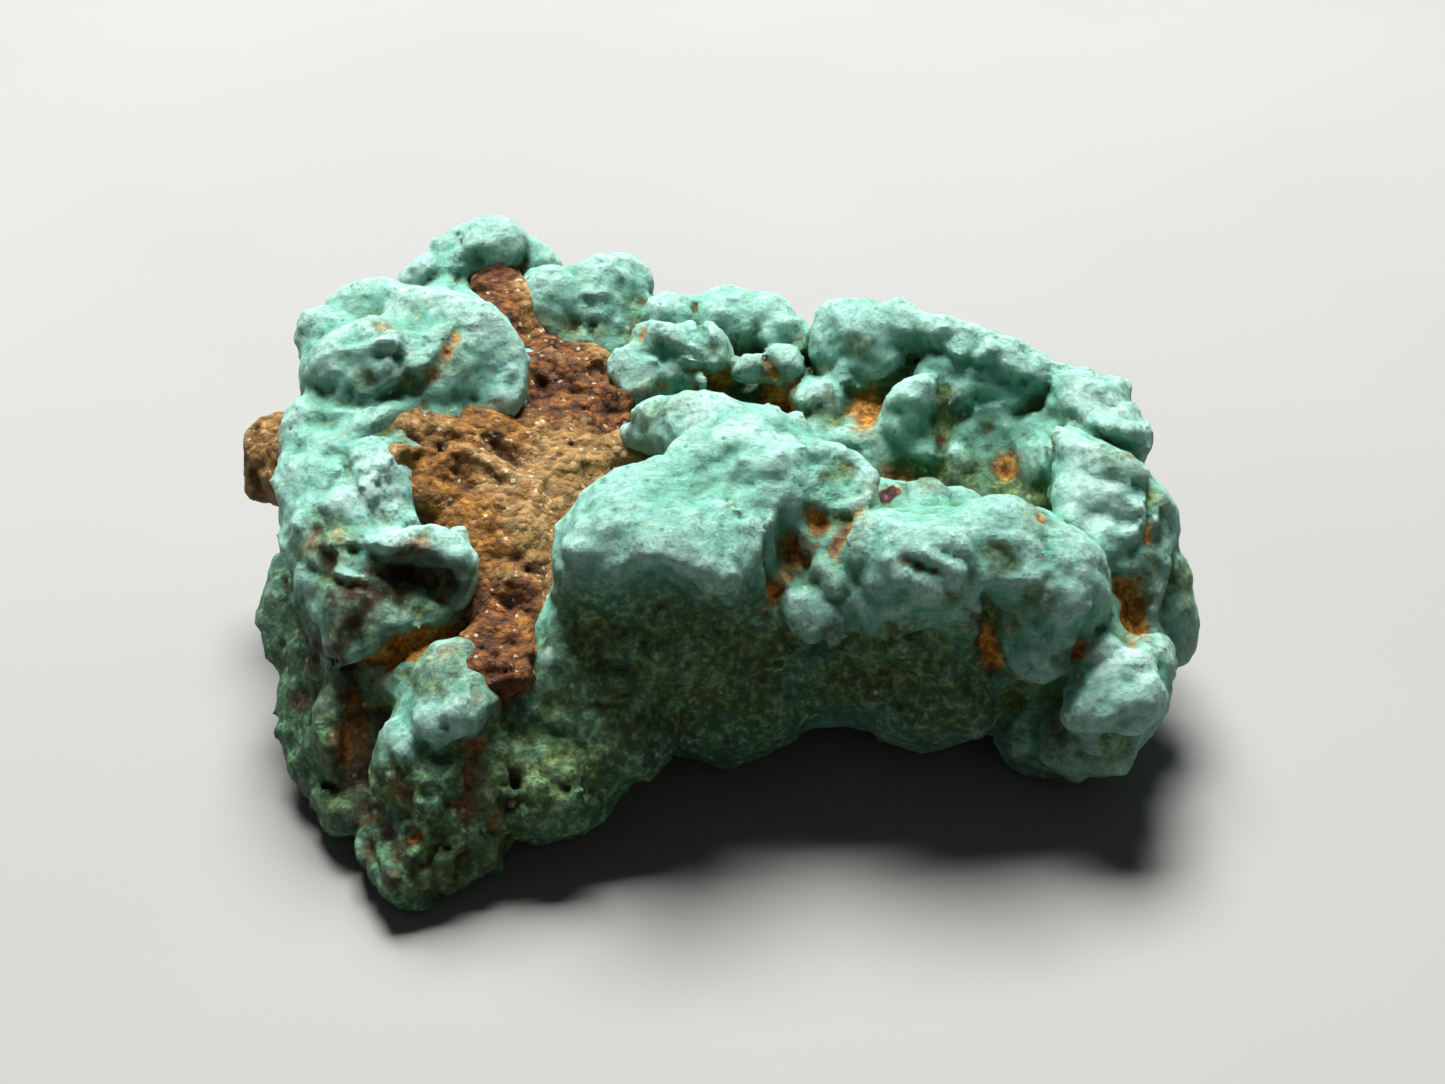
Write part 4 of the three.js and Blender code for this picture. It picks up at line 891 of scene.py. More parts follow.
KNOBS = [
    # the curled lobe at the top left
    (330, 356, 0.36), (352, 356, 0.32), (345, 384, 0.3), (366, 358, 0.3), (386, 366, 0.34), (394, 340, 0.4),
    (372, 345, 0.26), (318, 374, 0.34), (360, 378, 0.24), (304, 346, 0.4), (308, 320, 0.4),
    # the lip under the curled lobe, the shoulder and the crumbly patch
    (315, 440, 0.5), (312, 475, 0.5), (330, 470, 0.4), (305, 510, 0.4), (335, 500, 0.4), (345, 540, 0.4),
    (310, 580, 0.45), (335, 580, 0.4), (320, 612, 0.45), (340, 640, 0.45), (318, 668, 0.45),
    (340, 690, 0.4), (305, 640, 0.4), (350, 610, 0.4), (298, 600, 0.4),
    # the torn tongue and the band under it
    (380, 545, 0.25), (392, 550, 0.22), (410, 548, 0.25), (432, 560, 0.25), (450, 556, 0.28),
    (385, 600, 0.4), (415, 596, 0.4), (440, 595, 0.35), (375, 625, 0.35), (400, 615, 0.35),
    (430, 610, 0.35), (455, 600, 0.3), (360, 645, 0.35), (372, 650, 0.25), (465, 648, 0.32),
    (452, 655, 0.25), (440, 665, 0.35), (420, 668, 0.35), (398, 672, 0.35),
    # the large lobe along the front
    (762, 528, 0.45), (575, 545, 0.4), (775, 460, 0.45), (570, 590, 0.4), (620, 640, 0.5), (670, 650, 0.55),
    (720, 640, 0.45), (600, 680, 0.5), (640, 700, 0.5), (690, 700, 0.5), (740, 690, 0.5), (770, 660, 0.45),
    (780, 700, 0.5), (830, 700, 0.5), (820, 660, 0.45),
    # the curled lobe right of the large one, and the notch below it
    (808, 542, 0.3), (800, 530, 0.22), (824, 543, 0.26), (836, 532, 0.22), (845, 552, 0.22),
    (858, 530, 0.22), (835, 576, 0.42), (820, 566, 0.3), (798, 588, 0.42), (788, 606, 0.4), (806, 606, 0.4),
    (792, 622, 0.36), (810, 630, 0.36), (826, 622, 0.36), (826, 600, 0.36), (782, 576, 0.3),
    (812, 580, 0.28), (842, 590, 0.26), (850, 608, 0.3), (796, 560, 0.24), (840, 610, 0.25),
    (852, 565, 0.2), (865, 505, 0.2), (905, 495, 0.34), (920, 490, 0.36), (935, 497, 0.32), (915, 504, 0.3),
    (895, 488, 0.2), (884, 500, 0.2),
    # the iron grain in the notch
    (886, 496, 0.34), (880, 488, 0.2), (893, 503, 0.2),
    # the broad lobe at the front right
    (962, 545, 0.4), (955, 572, 0.45), (985, 578, 0.42), (930, 596, 0.5), (900, 580, 0.4), (875, 582, 0.5),
    (855, 600, 0.45), (1005, 588, 0.4), (1040, 595, 0.5), (1066, 602, 0.45), (870, 618, 0.4),
    (900, 612, 0.35), (880, 560, 0.4), (860, 560, 0.4), (1020, 580, 0.4), (900, 650, 0.6), (940, 670, 0.6),
    (880, 690, 0.6), (920, 720, 0.6), (960, 700, 0.55), (860, 650, 0.5), (840, 720, 0.5), (1040, 650, 0.4),
    (1060, 665, 0.45), (1040, 690, 0.45), (1065, 640, 0.35), (1020, 740, 0.6), (1060, 750, 0.6),
    (1100, 740, 0.6), (1030, 705, 0.45), (1000, 760, 0.4), (1130, 720, 0.5), (980, 730, 0.5),
    # the block at the right foot and the pocket beside it
    (1102, 645, 0.45), (1095, 680, 0.5), (1128, 662, 0.5), (1150, 652, 0.45), (1162, 640, 0.35),
    (1120, 702, 0.5), (1145, 690, 0.5), (1086, 702, 0.4), (1165, 665, 0.4), (1112, 625, 0.35),
    (1112, 602, 0.4), (1085, 655, 0.4), (1140, 640, 0.3), (1105, 715, 0.4),
    # the right end
    (1068, 380, 0.4), (1090, 385, 0.45), (1110, 395, 0.45), (1128, 412, 0.45), (1080, 410, 0.5),
    (1105, 425, 0.45), (1135, 430, 0.4), (1060, 400, 0.4), (1072, 448, 0.5), (1095, 455, 0.45),
    (1118, 465, 0.4), (1138, 470, 0.35), (1062, 490, 0.5), (1085, 495, 0.45), (1110, 498, 0.4),
    (1135, 508, 0.4), (1072, 520, 0.4), (1100, 528, 0.45), (1130, 535, 0.45), (1150, 525, 0.35),
    (1160, 500, 0.4), (1165, 560, 0.4), (1140, 560, 0.4), (1120, 560, 0.4), (1185, 600, 0.4),
    (1180, 570, 0.4), (1100, 545, 0.4), (1155, 590, 0.3),
    # the wall at the back of the valley
    (878, 447, 0.4), (890, 425, 0.45), (908, 395, 0.5), (905, 430, 0.5), (925, 410, 0.45), (920, 450, 0.45),
    (895, 460, 0.4), (820, 395, 0.45), (808, 402, 0.35), (835, 405, 0.4), (825, 415, 0.3), (840, 435, 0.35),
    (855, 440, 0.3), (850, 330, 0.6), (875, 320, 0.55), (885, 350, 0.5), (850, 365, 0.55), (825, 350, 0.5),
    (870, 370, 0.45), (905, 330, 0.4), (960, 395, 0.45), (990, 410, 0.5), (1015, 400, 0.45),
    (1005, 430, 0.45), (975, 430, 0.4), (1028, 455, 0.36), (1026, 472, 0.36), (1015, 370, 0.4),
    (960, 350, 0.35), (990, 350, 0.4), (930, 330, 0.4), (1035, 420, 0.35), (955, 460, 0.35),
    (985, 470, 0.35), (1000, 455, 0.3),
    # the middle and the left of the back rim
    (660, 310, 0.4), (680, 308, 0.42), (655, 332, 0.4), (675, 335, 0.4), (700, 315, 0.36), (720, 310, 0.38),
    (716, 335, 0.36), (742, 335, 0.4), (745, 310, 0.5), (768, 308, 0.5), (782, 325, 0.4), (770, 338, 0.4),
    (745, 355, 0.36), (752, 371, 0.42), (728, 360, 0.3), (690, 356, 0.3), (655, 372, 0.32),
    (640, 386, 0.36), (625, 380, 0.28), (648, 360, 0.3), (672, 372, 0.28), (700, 378, 0.26),
    (712, 366, 0.24), (795, 345, 0.4), (790, 362, 0.3), (736, 380, 0.25), (630, 395, 0.25), (640, 345, 0.3),
    (428, 262, 0.4), (445, 282, 0.3),
    # the foot at the front left
    (404, 750, 0.4), (425, 728, 0.4), (455, 714, 0.4), (482, 702, 0.34), (470, 725, 0.3), (440, 740, 0.35),
    (420, 760, 0.35), (445, 780, 0.32), (410, 778, 0.3), (520, 840, 0.36), (545, 830, 0.38),
    (515, 815, 0.3), (530, 790, 0.34), (500, 775, 0.34), (520, 755, 0.36), (545, 745, 0.4), (570, 770, 0.4),
    (600, 750, 0.42), (575, 800, 0.38), (610, 780, 0.38), (600, 810, 0.3), (635, 760, 0.36),
    (560, 720, 0.4), (530, 715, 0.36), (590, 725, 0.4), (640, 730, 0.42), (415, 885, 0.34), (430, 878, 0.3),
    (404, 872, 0.28), (395, 885, 0.22), (388, 862, 0.25), (450, 885, 0.25), (412, 900, 0.22),
    (335, 815, 0.45), (325, 800, 0.34), (345, 805, 0.3), (320, 775, 0.34), (312, 745, 0.38),
    (305, 715, 0.38), (300, 685, 0.36), (292, 650, 0.36), (330, 740, 0.4), (335, 770, 0.36),
    (325, 710, 0.4), (345, 835, 0.25), (300, 760, 0.25),
]
BEADS = [
    # the lip under the curled lobe, the shoulder and the crumbly patch
    (358, 455, 0.16), (372, 452, 0.14), (383, 462, 0.16), (365, 470, 0.17), (378, 480, 0.2),
    (390, 478, 0.14), (372, 495, 0.2), (388, 498, 0.17), (398, 506, 0.15), (380, 510, 0.15),
    (360, 488, 0.13), (393, 488, 0.13), (368, 460, 0.12), (386, 470, 0.12), (352, 470, 0.12),
    (362, 503, 0.13), (376, 466, 0.1), (370, 484, 0.12), (384, 488, 0.12), (366, 512, 0.14),
    (392, 512, 0.13), (404, 514, 0.12),
    # the torn tongue and the band under it
    (380, 546, 0.17), (392, 549, 0.15), (404, 551, 0.18), (418, 551, 0.15), (430, 549, 0.17),
    (442, 553, 0.15), (452, 560, 0.16), (459, 573, 0.17), (385, 531, 0.15), (398, 526, 0.17),
    (411, 532, 0.14), (424, 530, 0.16), (438, 537, 0.14), (450, 544, 0.15), (345, 560, 0.2),
    (335, 545, 0.18), (352, 580, 0.18), (410, 520, 0.13), (425, 520, 0.12),
    # the small knobs in the notch
    (795, 598, 0.24), (808, 592, 0.2), (820, 600, 0.22), (800, 612, 0.2), (815, 615, 0.24),
    (828, 610, 0.18), (796, 626, 0.2), (812, 630, 0.2), (826, 626, 0.18), (786, 612, 0.16),
    (836, 618, 0.16),
    # the foot at the front left
    (440, 806, 0.32), (458, 838, 0.36), (406, 826, 0.3), (430, 832, 0.28), (487, 848, 0.32),
    (505, 792, 0.28), (484, 800, 0.26), (418, 802, 0.24), (472, 866, 0.3), (500, 866, 0.28),
    (440, 862, 0.3), (416, 852, 0.26), (396, 812, 0.26), (382, 790, 0.28), (385, 770, 0.28),
    (422, 818, 0.2), (450, 818, 0.22), (398, 840, 0.2), (445, 845, 0.22), (474, 832, 0.2), (520, 812, 0.24),
    (500, 826, 0.22), (430, 786, 0.22), (404, 782, 0.2), (346, 812, 0.3), (332, 800, 0.26),
    (338, 828, 0.26), (350, 835, 0.2), (325, 782, 0.24), (400, 880, 0.2), (418, 892, 0.2), (388, 868, 0.18),
]
GROOVES = [
    # the curled lobe at the top left
    [(398, 356, 0.07), (402, 368, 0.12), (414, 381, 0.14)],
    [(318, 402, 0.09), (345, 405, 0.13), (375, 402, 0.17), (398, 390, 0.17), (412, 380, 0.13)],
    [(352, 434, 0.13), (385, 429, 0.22), (408, 416, 0.2), (424, 402, 0.14)],
    [(300, 360, 0.06), (312, 385, 0.08), (325, 398, 0.07)],
    # the lip under the curled lobe, the shoulder and the crumbly patch
    [(343, 450, 0.1), (350, 480, 0.12), (361, 510, 0.12), (372, 536, 0.1)],
    [(300, 500, 0.06), (318, 512, 0.08), (330, 530, 0.1)],
    [(300, 560, 0.07), (322, 575, 0.11), (345, 585, 0.14), (375, 590, 0.14)],
    [(296, 450, 0.05), (304, 470, 0.07), (306, 490, 0.06)],
    # the torn tongue and the band under it
    [(372, 558, 0.07), (395, 557, 0.1), (415, 553, 0.08)],
    [(402, 532, 0.05), (420, 530, 0.06), (436, 536, 0.05)],
    [(358, 572, 0.08), (385, 575, 0.14), (410, 572, 0.14), (440, 575, 0.14), (458, 585, 0.13)],
    # the plate behind the large lobe
    [(642, 453, 0.07), (665, 453, 0.08), (690, 441, 0.11), (706, 433, 0.13), (722, 425, 0.08)],
    [(698, 472, 0.07), (715, 461, 0.12), (735, 451, 0.1), (753, 444, 0.06)],
    [(714, 478, 0.07), (702, 490, 0.1), (692, 500, 0.06)],
    [(655, 420, 0.05), (672, 408, 0.07), (690, 402, 0.05)],
    [(770, 420, 0.05), (790, 432, 0.07), (806, 444, 0.06)], [(740, 400, 0.04), (748, 412, 0.06)],
    # the large lobe along the front
    [(736, 478, 0.06), (728, 498, 0.08), (740, 516, 0.07)],
    [(752, 505, 0.06), (765, 515, 0.07), (768, 535, 0.08)],
    [(600, 660, 0.07), (640, 670, 0.11), (690, 660, 0.08)],
    [(720, 650, 0.08), (760, 665, 0.11), (790, 655, 0.07)],
    [(650, 720, 0.08), (700, 700, 0.1), (750, 705, 0.08)],
    # the curled lobe right of the large one, and the notch below it
    [(812, 475, 0.07), (826, 478, 0.1), (841, 471, 0.11), (850, 465, 0.08)],
    [(800, 470, 0.07), (806, 484, 0.1), (806, 500, 0.11), (812, 515, 0.14)],
    [(770, 530, 0.08), (766, 556, 0.14), (771, 590, 0.15), (780, 622, 0.14), (792, 645, 0.1)],
    [(812, 520, 0.11), (820, 535, 0.14), (812, 556, 0.11)],
    [(780, 520, 0.07), (790, 530, 0.11), (792, 548, 0.11)],
    [(842, 600, 0.1), (856, 580, 0.1), (870, 556, 0.1), (878, 530, 0.08)],
    [(800, 640, 0.08), (830, 640, 0.1), (850, 625, 0.08)],
    # the broad lobe at the front right
    [(902, 560, 0.1), (918, 565, 0.18), (938, 571, 0.12), (955, 580, 0.07)],
    [(984, 538, 0.06), (1000, 548, 0.12), (1014, 562, 0.1), (1020, 575, 0.06)],
    [(948, 592, 0.07), (962, 606, 0.11), (978, 620, 0.13), (990, 630, 0.14)],
    [(1040, 538, 0.06), (1050, 550, 0.09), (1058, 562, 0.07)],
    [(925, 545, 0.05), (945, 552, 0.07), (962, 560, 0.06)],
    [(905, 590, 0.06), (896, 604, 0.08), (904, 620, 0.07)],
    [(960, 520, 0.04), (975, 528, 0.06), (985, 530, 0.04)],
    [(1060, 590, 0.06), (1050, 610, 0.08), (1036, 622, 0.1)],
    [(1080, 632, 0.07), (1078, 650, 0.1), (1074, 668, 0.08)],
    [(870, 560, 0.05), (885, 575, 0.07), (880, 592, 0.06)],
    [(1095, 560, 0.04), (1098, 590, 0.08), (1090, 620, 0.11), (1082, 640, 0.08)],
    [(1005, 600, 0.07), (1015, 625, 0.1), (1012, 650, 0.08)],
    [(880, 640, 0.07), (930, 632, 0.1), (960, 650, 0.08)],
    # the block at the right foot and the pocket beside it
    [(1112, 584, 0.14), (1128, 592, 0.24), (1138, 610, 0.25), (1140, 632, 0.21)],
    # the right end
    [(1060, 415, 0.07), (1085, 428, 0.11), (1112, 440, 0.14), (1135, 446, 0.11)],
    [(1075, 470, 0.06), (1095, 478, 0.08), (1120, 482, 0.07)],
    [(1058, 425, 0.11), (1050, 450, 0.14), (1046, 485, 0.14)],
    [(1090, 510, 0.06), (1110, 515, 0.08), (1135, 520, 0.07)],
    [(1150, 480, 0.07), (1148, 510, 0.11), (1150, 545, 0.11)],
    [(1095, 565, 0.11), (1110, 575, 0.14), (1140, 580, 0.11)],
    [(1160, 545, 0.07), (1172, 570, 0.1), (1176, 600, 0.1)],
    [(1088, 392, 0.05), (1095, 410, 0.07), (1092, 422, 0.06)],
    # the wall at the back of the valley
    [(946, 392, 0.11), (945, 425, 0.15), (942, 455, 0.15), (938, 478, 0.13)],
    [(1042, 352, 0.07), (1046, 366, 0.1), (1048, 380, 0.07)],
    [(965, 440, 0.08), (975, 455, 0.11), (980, 475, 0.1)],
    [(1008, 440, 0.07), (1012, 462, 0.14), (1018, 485, 0.14)],
    [(850, 375, 0.1), (870, 385, 0.11), (885, 380, 0.08)],
    [(930, 350, 0.07), (960, 362, 0.1), (990, 368, 0.08), (1015, 375, 0.07)],
    [(838, 420, 0.08), (850, 405, 0.11), (848, 390, 0.1)],
    [(1042, 450, 0.08), (1046, 470, 0.13), (1040, 490, 0.13)],
    # the middle and the left of the back rim
    [(694, 300, 0.07), (697, 318, 0.12), (704, 335, 0.14), (712, 350, 0.13)],
    [(730, 318, 0.08), (738, 326, 0.11), (735, 345, 0.1)],
    [(640, 352, 0.08), (660, 358, 0.11), (685, 352, 0.11), (700, 358, 0.1)],
    [(762, 345, 0.08), (765, 360, 0.11), (775, 375, 0.13)],
    [(645, 300, 0.1), (644, 322, 0.14), (640, 340, 0.14)], [(800, 325, 0.11), (798, 342, 0.1)],
    [(660, 385, 0.1), (690, 390, 0.13), (720, 382, 0.13), (745, 388, 0.11), (780, 392, 0.14),
     (790, 410, 0.14)],
    [(720, 345, 0.07), (730, 352, 0.1), (732, 365, 0.08)],
    [(458, 232, 0.06), (462, 245, 0.08), (462, 262, 0.08)],
    [(430, 245, 0.06), (440, 262, 0.07), (436, 280, 0.06)],
    # the foot at the front left
    [(492, 712, 0.07), (480, 742, 0.12), (471, 772, 0.15), (464, 808, 0.17), (468, 826, 0.1)],
    [(410, 735, 0.06), (430, 745, 0.07), (455, 738, 0.07)],
    [(520, 705, 0.08), (535, 725, 0.11), (560, 738, 0.1)],
    [(540, 770, 0.08), (560, 790, 0.11), (590, 785, 0.08)],
    [(500, 760, 0.07), (515, 780, 0.1), (520, 800, 0.08)],
    [(395, 760, 0.07), (405, 790, 0.11), (415, 815, 0.1)],
    [(440, 770, 0.07), (448, 790, 0.1), (445, 812, 0.1)],
    [(480, 830, 0.08), (500, 825, 0.1), (520, 815, 0.08)],
    [(425, 850, 0.08), (445, 848, 0.1), (465, 855, 0.08)],
    [(345, 690, 0.11), (350, 730, 0.17), (347, 770, 0.2), (362, 835, 0.17), (378, 872, 0.13)],
]
# where iron, olive clay, sandy cement, soil, worn pale skin, amber and one iron grain lie; the olive clay
# and soil lists also carry painted shade, and the pale skin list painted highlight
IRON = [
    (382, 325, 0.4), (445, 355, 0.45), (432, 372, 0.4), (452, 338, 0.35), (640, 330, 0.4), (715, 372, 0.55),
    (765, 378, 0.6), (785, 398, 0.6), (866, 412, 0.6), (650, 392, 0.4), (1010, 463, 0.55), (1040, 513, 0.6),
    (1127, 455, 0.4), (1148, 535, 0.4), (1128, 595, 0.85), (1137, 622, 0.7), (1078, 650, 0.35),
    (990, 657, 0.4), (975, 620, 0.5), (985, 632, 0.5), (815, 512, 0.45), (818, 530, 0.4), (800, 550, 0.6),
    (835, 545, 0.6), (850, 530, 0.45), (875, 490, 0.4), (890, 478, 0.55), (770, 590, 0.4), (762, 610, 0.35),
    (385, 655, 0.7), (405, 642, 0.6), (430, 630, 0.6), (455, 615, 0.5), (422, 542, 0.35), (310, 544, 0.35),
    (337, 532, 0.35), (350, 745, 0.7), (356, 720, 0.6), (350, 700, 0.45), (400, 797, 0.4), (395, 785, 0.4),
    (474, 745, 0.4), (470, 775, 0.45), (466, 808, 0.5), (500, 818, 0.4), (418, 840, 0.35), (500, 700, 0.4),
    (478, 695, 0.4), (865, 430, 0.4), (400, 640, 0.7), (375, 665, 0.7), (440, 628, 0.6), (470, 612, 0.5),
    (1130, 605, 0.85), (1142, 635, 0.7), (1120, 590, 0.6), (395, 662, 0.6), (420, 655, 0.6),
    (445, 645, 0.5), (378, 675, 0.5),
]
# olive stain, and painted shade on the dark low front faces, the left side and the hollow under the tongue
OLIVE_STAIN_AND_SHADE = [
    (540, 322, 0.6), (570, 332, 0.7), (600, 328, 0.6), (630, 300, 0.5), (520, 262, 0.4), (525, 330, 0.95),
    (640, 300, 0.45), (825, 408, 0.8), (855, 345, 0.55), (830, 425, 0.55), (900, 465, 0.7), (945, 440, 0.6),
    (945, 400, 0.55), (960, 470, 0.95), (1010, 480, 0.95), (990, 430, 0.55), (1050, 440, 0.45),
    (1040, 490, 0.55), (655, 412, 0.7), (690, 400, 0.6), (1000, 560, 0.7), (950, 600, 0.6),
    (1160, 500, 0.6), (1185, 610, 0.8), (335, 625, 0.95), (345, 700, 1.05), (335, 760, 0.85),
    (330, 540, 0.95), (315, 520, 0.6), (400, 780, 0.7), (500, 770, 0.85), (560, 760, 0.95),
    (620, 720, 0.95), (600, 680, 0.7), (380, 600, 0.85), (430, 605, 0.7), (395, 435, 0.55), (450, 420, 0.7),
    (480, 415, 0.6), (405, 380, 0.45), (365, 380, 0.45), (520, 740, 0.8), (400, 790, 1.1), (440, 830, 1.1),
    (480, 790, 1.1), (530, 780, 1.3), (590, 760, 1.3), (500, 850, 0.9), (450, 870, 0.9), (420, 890, 0.7),
    (300, 560, 0.8), (320, 590, 0.9), (335, 620, 0.95), (330, 660, 0.9), (335, 800, 0.8), (960, 480, 0.9),
    (1000, 470, 0.8), (920, 470, 0.6), (945, 420, 0.6), (640, 400, 0.5), (930, 482, 0.6), (900, 487, 0.45),
    (350, 600, 0.9), (370, 640, 0.8), (330, 690, 0.9), (420, 660, 0.7), (450, 655, 0.6), (400, 670, 0.8),
    (380, 690, 0.8), (440, 600, 0.8), (400, 600, 0.8), (830, 475, 0.4), (845, 468, 0.35), (1110, 455, 0.6),
    (1140, 470, 0.4), (620, 700, 1), (680, 720, 0.9), (500, 720, 0.8), (560, 700, 0.9), (1000, 620, 0.8),
    (1020, 680, 0.7), (1040, 600, 0.6), (985, 650, 0.8), (1060, 660, 0.5), (1000, 700, 0.8),
    (900, 640, 0.9), (840, 640, 0.7), (370, 620, 1.5), (340, 620, 1.2), (330, 580, 1), (400, 640, 0.9),
    (480, 650, 0.7), (440, 668, 0.9), (420, 680, 0.8), (600, 640, 1.4), (660, 640, 1.4), (720, 640, 1.4),
    (770, 650, 1.2), (640, 690, 1.4), (700, 690, 1.4), (850, 690, 1.3), (900, 690, 1.4), (950, 700, 1.3),
    (870, 650, 1), (930, 660, 1), (1060, 740, 1.2), (1120, 740, 1), (750, 700, 1.2), (474, 572, 0.5),
    (468, 588, 0.5), (455, 596, 0.5), (834, 470, 0.4), (822, 476, 0.35), (310, 560, 0.7), (330, 590, 0.7),
    (345, 640, 0.6), (360, 600, 0.6), (375, 580, 0.5), (1192, 615, 0.8), (1188, 645, 0.7), (1182, 582, 0.7),
    (1150, 565, 0.5),
]
CEMENT = [
    (448, 345, 0.45), (440, 365, 0.55), (432, 390, 0.6), (428, 415, 0.7), (455, 425, 0.6), (485, 415, 0.6),
    (505, 405, 0.55), (870, 520, 0.55), (855, 540, 0.6), (838, 552, 0.6), (815, 540, 0.6), (800, 556, 0.6),
    (822, 520, 0.45), (785, 575, 0.45), (770, 600, 0.45), (890, 482, 0.55), (905, 478, 0.45),
    (860, 505, 0.35), (720, 372, 0.6), (770, 385, 0.7), (790, 400, 0.6), (640, 395, 0.55), (850, 430, 0.45),
    (1125, 600, 0.8), (1138, 625, 0.7), (400, 650, 0.6), (640, 335, 0.45), (440, 425, 0.9), (415, 432, 0.7),
    (460, 432, 0.8), (480, 432, 0.7), (400, 440, 0.5), (470, 420, 0.5),
]
# dark soil in the grooves, and painted shade in the hollow under the tongue and down the left side
SOIL_AND_SHADE = [
    (350, 690, 0.6), (354, 720, 0.6), (360, 750, 0.6), (362, 785, 0.55), (364, 820, 0.55), (372, 850, 0.5),
    (390, 880, 0.4), (385, 570, 0.6), (410, 575, 0.7), (435, 575, 0.6), (452, 585, 0.45), (472, 745, 0.3),
    (474, 775, 0.35), (470, 805, 0.4), (335, 600, 0.35), (322, 545, 0.3), (866, 400, 0.35), (870, 420, 0.3),
    (940, 440, 0.25), (405, 560, 0.9), (430, 565, 0.9), (450, 572, 0.5), (380, 568, 0.6), (345, 640, 0.5),
    (335, 650, 0.5), (340, 670, 0.5), (365, 680, 0.5), (330, 560, 0.4), (318, 530, 0.35), (345, 735, 0.8),
    (352, 770, 0.8), (372, 800, 0.6), (388, 830, 0.5), (400, 850, 0.4), (480, 770, 0.35), (478, 790, 0.4),
    (905, 562, 0.25), (920, 568, 0.28), (935, 572, 0.22), (985, 640, 0.35), (990, 670, 0.3),
    (505, 700, 0.5), (300, 700, 0.5), (320, 640, 0.6), (310, 660, 0.5), (370, 600, 0.6), (360, 620, 0.5),
    (350, 590, 0.5), (395, 590, 0.5), (455, 570, 0.5), (360, 590, 0.5), (345, 620, 0.5), (340, 660, 0.5),
]
# the worn pale crumbly patch, and painted highlight on the lit tops at the right end, the plate behind the
# large lobe and the curled lobe
PALE_SKIN_AND_HIGHLIGHT = [
    (370, 480, 1.1), (385, 500, 0.8), (360, 455, 0.6), (400, 530, 0.7), (545, 655, 0.4), (752, 370, 0.6),
    (878, 447, 0.55), (815, 395, 0.55), (1085, 460, 0.9), (1105, 490, 1), (1085, 500, 0.8),
    (1115, 520, 0.8), (1090, 400, 0.9), (1110, 405, 0.8), (1075, 385, 0.6), (700, 415, 0.9),
    (740, 425, 0.9), (780, 440, 0.7), (400, 300, 0.9), (450, 300, 0.8), (480, 330, 0.7), (340, 330, 0.7),
    (1110, 660, 0.8), (1135, 660, 0.7), (800, 600, 0.5), (720, 400, 0.8), (690, 400, 0.7),
]
AMBER = [
    (1130, 600, 1), (1140, 625, 0.9), (1125, 612, 0.7), (1147, 642, 0.6), (400, 642, 0.8), (378, 662, 0.7),
    (425, 632, 0.7), (450, 622, 0.7), (470, 612, 0.6), (640, 386, 0.6), (660, 393, 0.6), (700, 388, 0.6),
    (725, 378, 0.6), (715, 372, 0.5), (785, 395, 0.9), (790, 410, 0.7), (868, 408, 0.7), (862, 425, 0.6),
    (1010, 465, 0.5), (1016, 455, 0.4), (1040, 513, 0.5), (990, 657, 0.4), (985, 640, 0.3), (400, 797, 0.4),
    (395, 788, 0.35), (625, 375, 0.4), (785, 360, 0.4), (818, 520, 0.5), (1127, 455, 0.4), (1148, 535, 0.4),
    (770, 590, 0.4), (1131, 632, 0.7),
]
IRON_GRAIN = [
    (886, 496, 0.42),
]

STONE_LOW = (-15.5, -11.5, -0.8)
STONE_HIGH = (14.8, 12.0, 12.4)
STONE_CELL = 0.158
stone = Growth(STONE_LOW, STONE_HIGH, STONE_CELL)
for part in TURQUOISE:
    stone.add(part)

# the crust of turquoise ends in a small step where the host rock shows
STEP_DEPTH = 0.6
STEP_WIDTH = 0.25
near = np.abs(stone.value) < 1.5
cover = stone.value[near] - host.at(stone.places(near), host_plain)
stone.value[near] += STEP_DEPTH * np.clip(cover / STEP_WIDTH, 0, 1)

folds = [stone.balls(chain, lift=-0.4) for chain in FOLDS]
knobs = stone.balls(KNOBS, lift=-0.5)
tiny_knobs = stone.balls(BEADS, lift=-0.1)
for beads in folds:
    stone.add(roll(beads, blend=0.15))
stone.add_lumps(knobs, height=0.9, blend=0.2, melt=0.3)
stone.add_lumps(tiny_knobs, height=1.1, blend=0.12)


def low_left(p, top):
    """1 on the low left end, which grew as small round knobs, and 0 elsewhere."""
    x, y, z = p.T
    return ramp(-1.1 - 0.9 * z - x, 0, 1.5) * ramp(z, top, top - 1.2) * ramp(y, 3.0, 1.0)


def lit_foot_ridge(p):
    """1 along the lit top of the foot, which is kept lighter, free of the painted shade and the dark stain,
    and 0 elsewhere.
    """
    return ramp(p[:, 2], 3.6, 4.5) * ramp(p[:, 1], -4.2, -5.0)


def shaded_front(p):
    """1 on the low faces along the front, which are darkened with painted shade, and 0 elsewhere. The
    painted shade starts high under the large lobe and low at the right foot."""
    x, y, z = p.T
    start = 6.6 + 2.0 * ramp(x, 1.9, 0.9) - 4.0 * ramp(x, 6.9, 8.1)
    return ramp(z - start, 0, -1.8) * ramp(y, -4.2, -5.4) * ramp(x, -7.0, -5.5)


